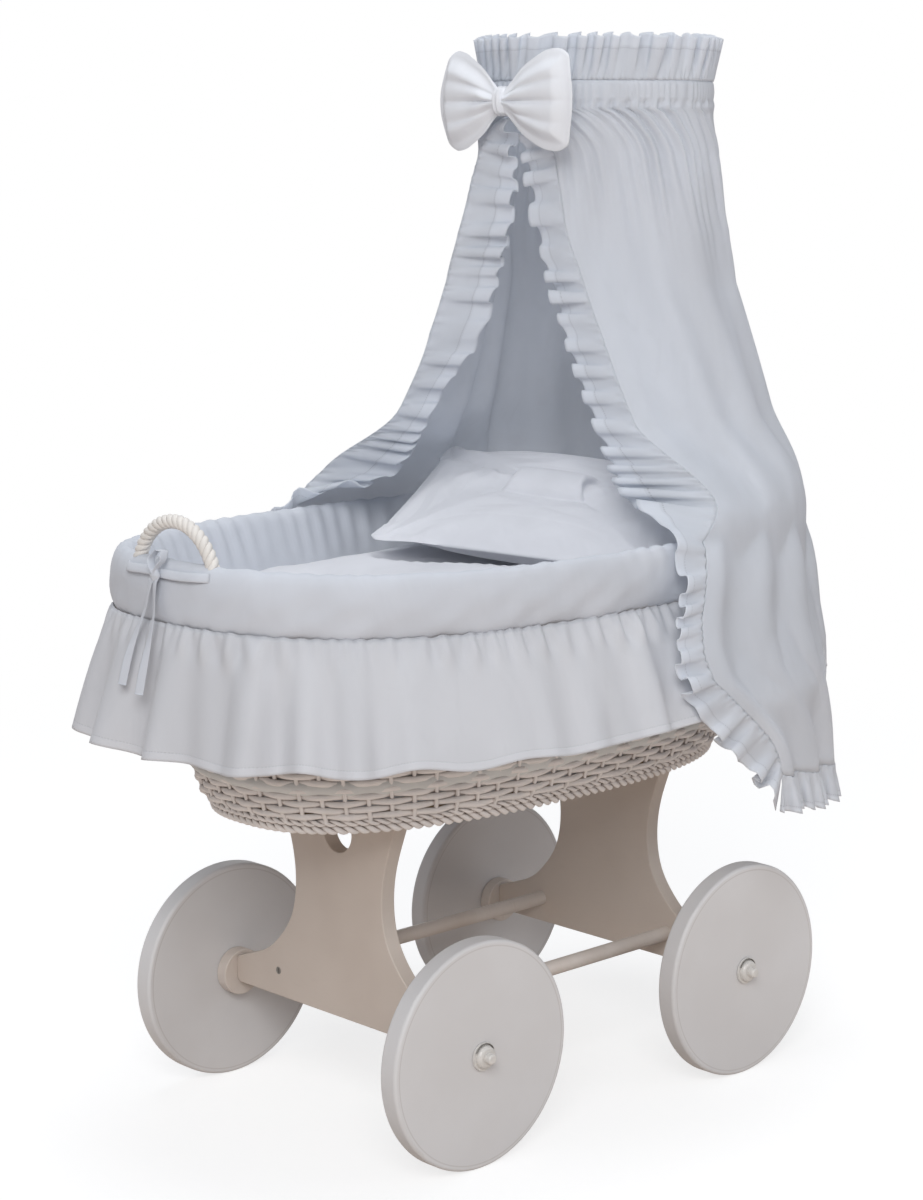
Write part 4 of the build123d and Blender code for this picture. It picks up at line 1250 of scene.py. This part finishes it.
# Frills: strips of the same cotton gathered along one edge and hemmed along the other. One
# stands above the hoop, one runs down each front edge, and one hangs from the lower edge.
FREE_NEAR = [(68, -10, 1146), (74, -12, 1100), (86, -18, 1025), (88, -34, 972), (90, -68, 886),
             (90, -122, 780), (88, -166, 715), (64, -232, 700), (48, -280, 676), (34, -304, 627),
             (16, -314, 593), (8, -322, 555), (14, -328, 515), (40, -331, 478), (80, -334, 436),
             (115, -336, 405), (140, -337, 380), (160, -337, 352)]
SEAM_NEAR_Z = [1146, 1108, 1025, 972, 886, 780, 715, 691, 665, 627, 593, 555, 522, 500, 467, 436,
               410, 388]
FREE_FAR = [(67, 4, 1146), (80, 8, 1075), (83, 16, 1037), (72, 28, 964), (60, 45, 893),
            (38, 84, 830), (24, 108, 780), (12, 164, 715), (-8, 208, 704), (-44, 262, 692),
            (-104, 292, 625), (-106, 310, 550), (-84, 326, 495), (-34, 332, 440), (5, 335, 400),
            (30, 336, 352)]
SEAM_FAR_Z = [1146, 1083, 1037, 964, 893, 830, 780, 715, 690, 667, 600, 550, 510, 470, 430, 388]
FRILL_WAVE, HEM_WAVE, HEADER_WAVE = 0.033, 0.030, 0.0235
FRILL_ACROSS = 16
FRILL_STEP, HEM_STEP = 0.0024, 0.0026
FRILL_PUCKER = 0.0012
FRILL_HEM, FRILL_STITCH = 0.038, 0.036   # metres down the strip
GATHER = 1.6             # length of a frill's cloth for each length of its seam
HEM_OUT, HEM_H = 0.005, 0.043
HEADER_STEPS = 520
HEADER_FOOT_Z = 1.1896
HEADER_FLARE, HEADER_SLANT, HEADER_H = 0.002, 0.008, 0.0515


def frill(name, seam, free, swing, fold_over, wave, seed, closed):
    """Gathered strip from a seam to its free edge. Points swing out and back along the strip's
    own normal as a wave that grows from the seam, and slide along it by the doubled wave, so
    that the edge folds over itself."""
    count = len(seam)
    t = np.linspace(0, 1, FRILL_ACROSS)[None, :]
    way = lengths_along(seam, 0)[:, None]
    total = float(way[-1, 0])
    s = way / total
    waves = max(1, round(total / wave))
    wander = 1.6 * ripple(s, 0 * t, (2, max(3, waves // 4)), 0, seed, 6)
    if not closed:
        wander = wander * np.clip(np.minimum(s, 1 - s) * waves, 0, 1)
    phase = 2 * np.pi * (waves * s) + wander
    size = np.clip(1 + 0.5 * ripple(s, 0 * t, (2, max(3, waves // 2)), 0, seed + 1, 6), 0.2, 1.7)
    base = seam[:, None] + (free - seam)[:, None] * t[..., None]
    along = unit(direction(seam, 0, closed))[:, None]
    normal = unit(np.cross(along, (free - seam)[:, None]))
    grown = t ** 0.8
    tiny = FRILL_PUCKER * np.cos(3 * phase + 1.3 * np.sin(phase)) * np.exp(-(t / 0.22) ** 2)
    swung = swing * size * grown * np.sin(phase) + tiny
    slid = -fold_over * size * grown * np.sin(2 * phase)
    points = base + normal * swung[..., None] + along * slid[..., None]
    points = points + (free - seam)[:, None] * (0.05 * t ** 3 * np.cos(phase + 0.8))[..., None]
    faces = grid_faces(count, FRILL_ACROSS, closed)
    width = float(np.linalg.norm(free - seam, axis=1).mean())
    across = np.concatenate([way, way[-1:] + way[1:2]]) if closed else way
    maps = grid_maps(across * GATHER, width * t)
    piece = make_piece(name, points, [faces], [maps])
    thicken(piece, 0.0008)
    return piece, width, total


def steps_on(line, step):
    """The same line with points an even step apart."""
    way = lengths_along(line, 0)
    at = np.linspace(0, way[-1], max(3, int(way[-1] / step)))
    return np.stack([np.interp(at, way, line[:, k]) for k in range(3)], -1), at / way[-1]


def edge_and_free(edge, seam_z, free):
    """Front edge of the cloth below the mouth's top and the frill's free edge beside it."""
    seam_z, free = np.array(seam_z, float) * MM, np.array(free, float) * MM
    z = np.linspace(seam_z[0], seam_z[-1], 400)
    by_height = np.stack([np.interp(z, edge[::-1, 2], edge[::-1, k]) for k in range(3)], -1)
    loose = glide(z, seam_z[::-1], free[::-1])
    loose[:, 2] += hem_tilt(loose[:, 2], 0)
    seam, at = steps_on(by_height, FRILL_STEP)
    old = np.linspace(0, 1, len(z))
    at = np.interp(at, path_share(by_height), old)
    return seam, np.stack([np.interp(at, old, loose[:, k]) for k in range(3)], -1)


near_line, near_free = edge_and_free(canopy_points[0], SEAM_NEAR_Z, FREE_NEAR)
far_line, far_free = edge_and_free(canopy_points[-1], SEAM_FAR_Z, FREE_FAR)
low_line, _ = steps_on(canopy_points[:, -1], HEM_STEP)
level_out = unit(np.stack([np.gradient(low_line[:, 1]), -np.gradient(low_line[:, 0]),
                           0 * low_line[:, 0]], -1))
middle = low_line.mean(0)
level_out *= np.sign(((low_line - middle) * level_out).sum(1).mean())
low_free = low_line + level_out * HEM_OUT - np.array([0, 0, HEM_H])
angle = np.pi + 2 * np.pi * np.linspace(0, 1, HEADER_STEPS, endpoint=False)
ring_out = np.stack([np.cos(angle), np.sin(angle), 0 * angle], -1)
ring_along = np.stack([-ring_out[:, 1], ring_out[:, 0], 0 * angle], -1)
top_line = np.array([HOOP_X * MM, 0, HEADER_FOOT_Z]) + CHANNEL_R * MM * ring_out
top_free = (top_line + ring_out * HEADER_FLARE + ring_along * HEADER_SLANT
            + np.array([0, 0, HEADER_H]))
FRILLS = [   # node, piece, seam, free edge, swing, fold over, wave, seed, whether it is a ring
    ("frill_near", "mouth_frill_near", near_line, near_free, 0.0068, 0.0034, FRILL_WAVE, 61, False),
    ("frill_far", "mouth_frill_far", far_line, far_free, 0.0068, 0.0034, FRILL_WAVE, 63, False),
    ("frill_hem", "hem_frill", low_line, low_free, 0.0070, 0.0036, HEM_WAVE, 65, False),
    ("frill_header", "header_frill", top_line, top_free, 0.0066, 0.0034, HEADER_WAVE, 67, True),
]
frill_cotton = cotton("frill_cotton", CANOPY_COTTON_LIT, crinkle=0.3, thin=CANOPY_THIN,
                      hem=FRILL_HEM, stitch=FRILL_STITCH)
for node, *shape in FRILLS:
    piece, width, total = frill(*shape)
    piece.data.materials.append(frill_cotton)
    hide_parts(node)
    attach(piece, "canopy")


# Bow: two thinly padded lobes of cotton, quilted by creases that run in to a pinched waist, with
# a flat sewn edge all round; it is stitched to the front of the channel.
BOW_X = 0.0500
BOW_Z = 1.1660
BOW_HALF = 0.110
BOW_EDGE = np.array([(0.0, 0.012), (0.12, 0.022), (0.3, 0.037), (0.5, 0.048), (0.7, 0.056),
                     (0.85, 0.058), (0.95, 0.056), (1.0, 0.053)])
BOW_DEPTH = 0.0135
BOW_FLANGE = 0.0011
BOW_SEAM = 0.0045        # width of the flat sewn edge
CREASES = 5
# Painted light: a lighter copy of the bed's white cotton for the brighter light on the bow.
BOW_COTTON_LIT = (0.80, 0.82, 0.86, 1)


def bow_lobe(name, side):
    """Closed lobe: its height follows the edge table from the waist out, its outer edge is
    rounded, and its depth rises behind a flat seam and dips along creases from the waist."""
    p = np.linspace(0, 1, 56)[:, None]
    turn = (np.arange(112) * 2 * np.pi / 112)[None, :]
    q = np.sin(turn)
    height = glide(p, BOW_EDGE[:, 0], BOW_EDGE[:, 1])
    outer = BOW_HALF - 0.016 * q ** 2 + 0.010 * q ** 6 - 0.010 * np.abs(q) ** 14
    y = 0.004 + (outer - 0.004) * p
    z = height * q * (1 + 0.02 * q * p)
    from_edge = np.minimum((1 - np.abs(q)) * height, (1 - p) * BOW_HALF)
    rise = smooth_step(np.clip((from_edge - BOW_SEAM) / 0.020, 0, 1))
    crease = np.abs(np.cos(np.pi * CREASES / 2 * (q * 0.96 + 1)))
    crease = crease ** 0.55 * np.clip(1.25 - p, 0.35, 1) + np.clip((p - 0.45) * 1.5, 0, 1)
    crease = np.clip(crease, 0, 1)
    depth = BOW_DEPTH * rise * (0.35 + 0.65 * crease) * (0.65 + 0.35 * np.sin(np.pi * p ** 0.8)) \
        + BOW_FLANGE * np.clip((1 - np.abs(q)) * 12, 0, 1) * np.clip((1 - p) * 30, 0, 1)
    pinch = 0.0050 * np.exp(-(p / 0.12) ** 2) * np.cos(turn)
    x = -np.cos(turn) / np.maximum(np.abs(np.cos(turn)), 0.2) * depth - pinch
    curl = 0.010 * p ** 2 * (0.4 + 0.6 * q ** 2)
    return closed_pad(name, BOW_X + x + curl, side * y, BOW_Z + z)


bow_cotton = cotton("bow_cotton", BOW_COTTON_LIT, crinkle=0.35)
for name, side in (("near", -1), ("far", 1)):
    lobe = bow_lobe(f"bow_lobe_{name}", side)
    smooth_once(lobe)
    lobe.data.materials.append(bow_cotton)
    add_box_map(lobe)
    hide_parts(f"bow_{name}")
    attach(lobe, "canopy")
x, y, z = pad_grid((48, 26), 2.6)
pleat = 1 + 0.07 * np.cos(7 * np.arctan2(y, x))
waist = closed_pad("bow_waist", BOW_X + 0.002 + x * 0.0150 * pleat, y * 0.0085 * pleat,
                   BOW_Z + z * 0.0165 + 0.001 * np.sin(30 * y))
waist.data.materials.append(bow_cotton)
add_box_map(waist)
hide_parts("bow_knot")
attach(waist, "canopy")
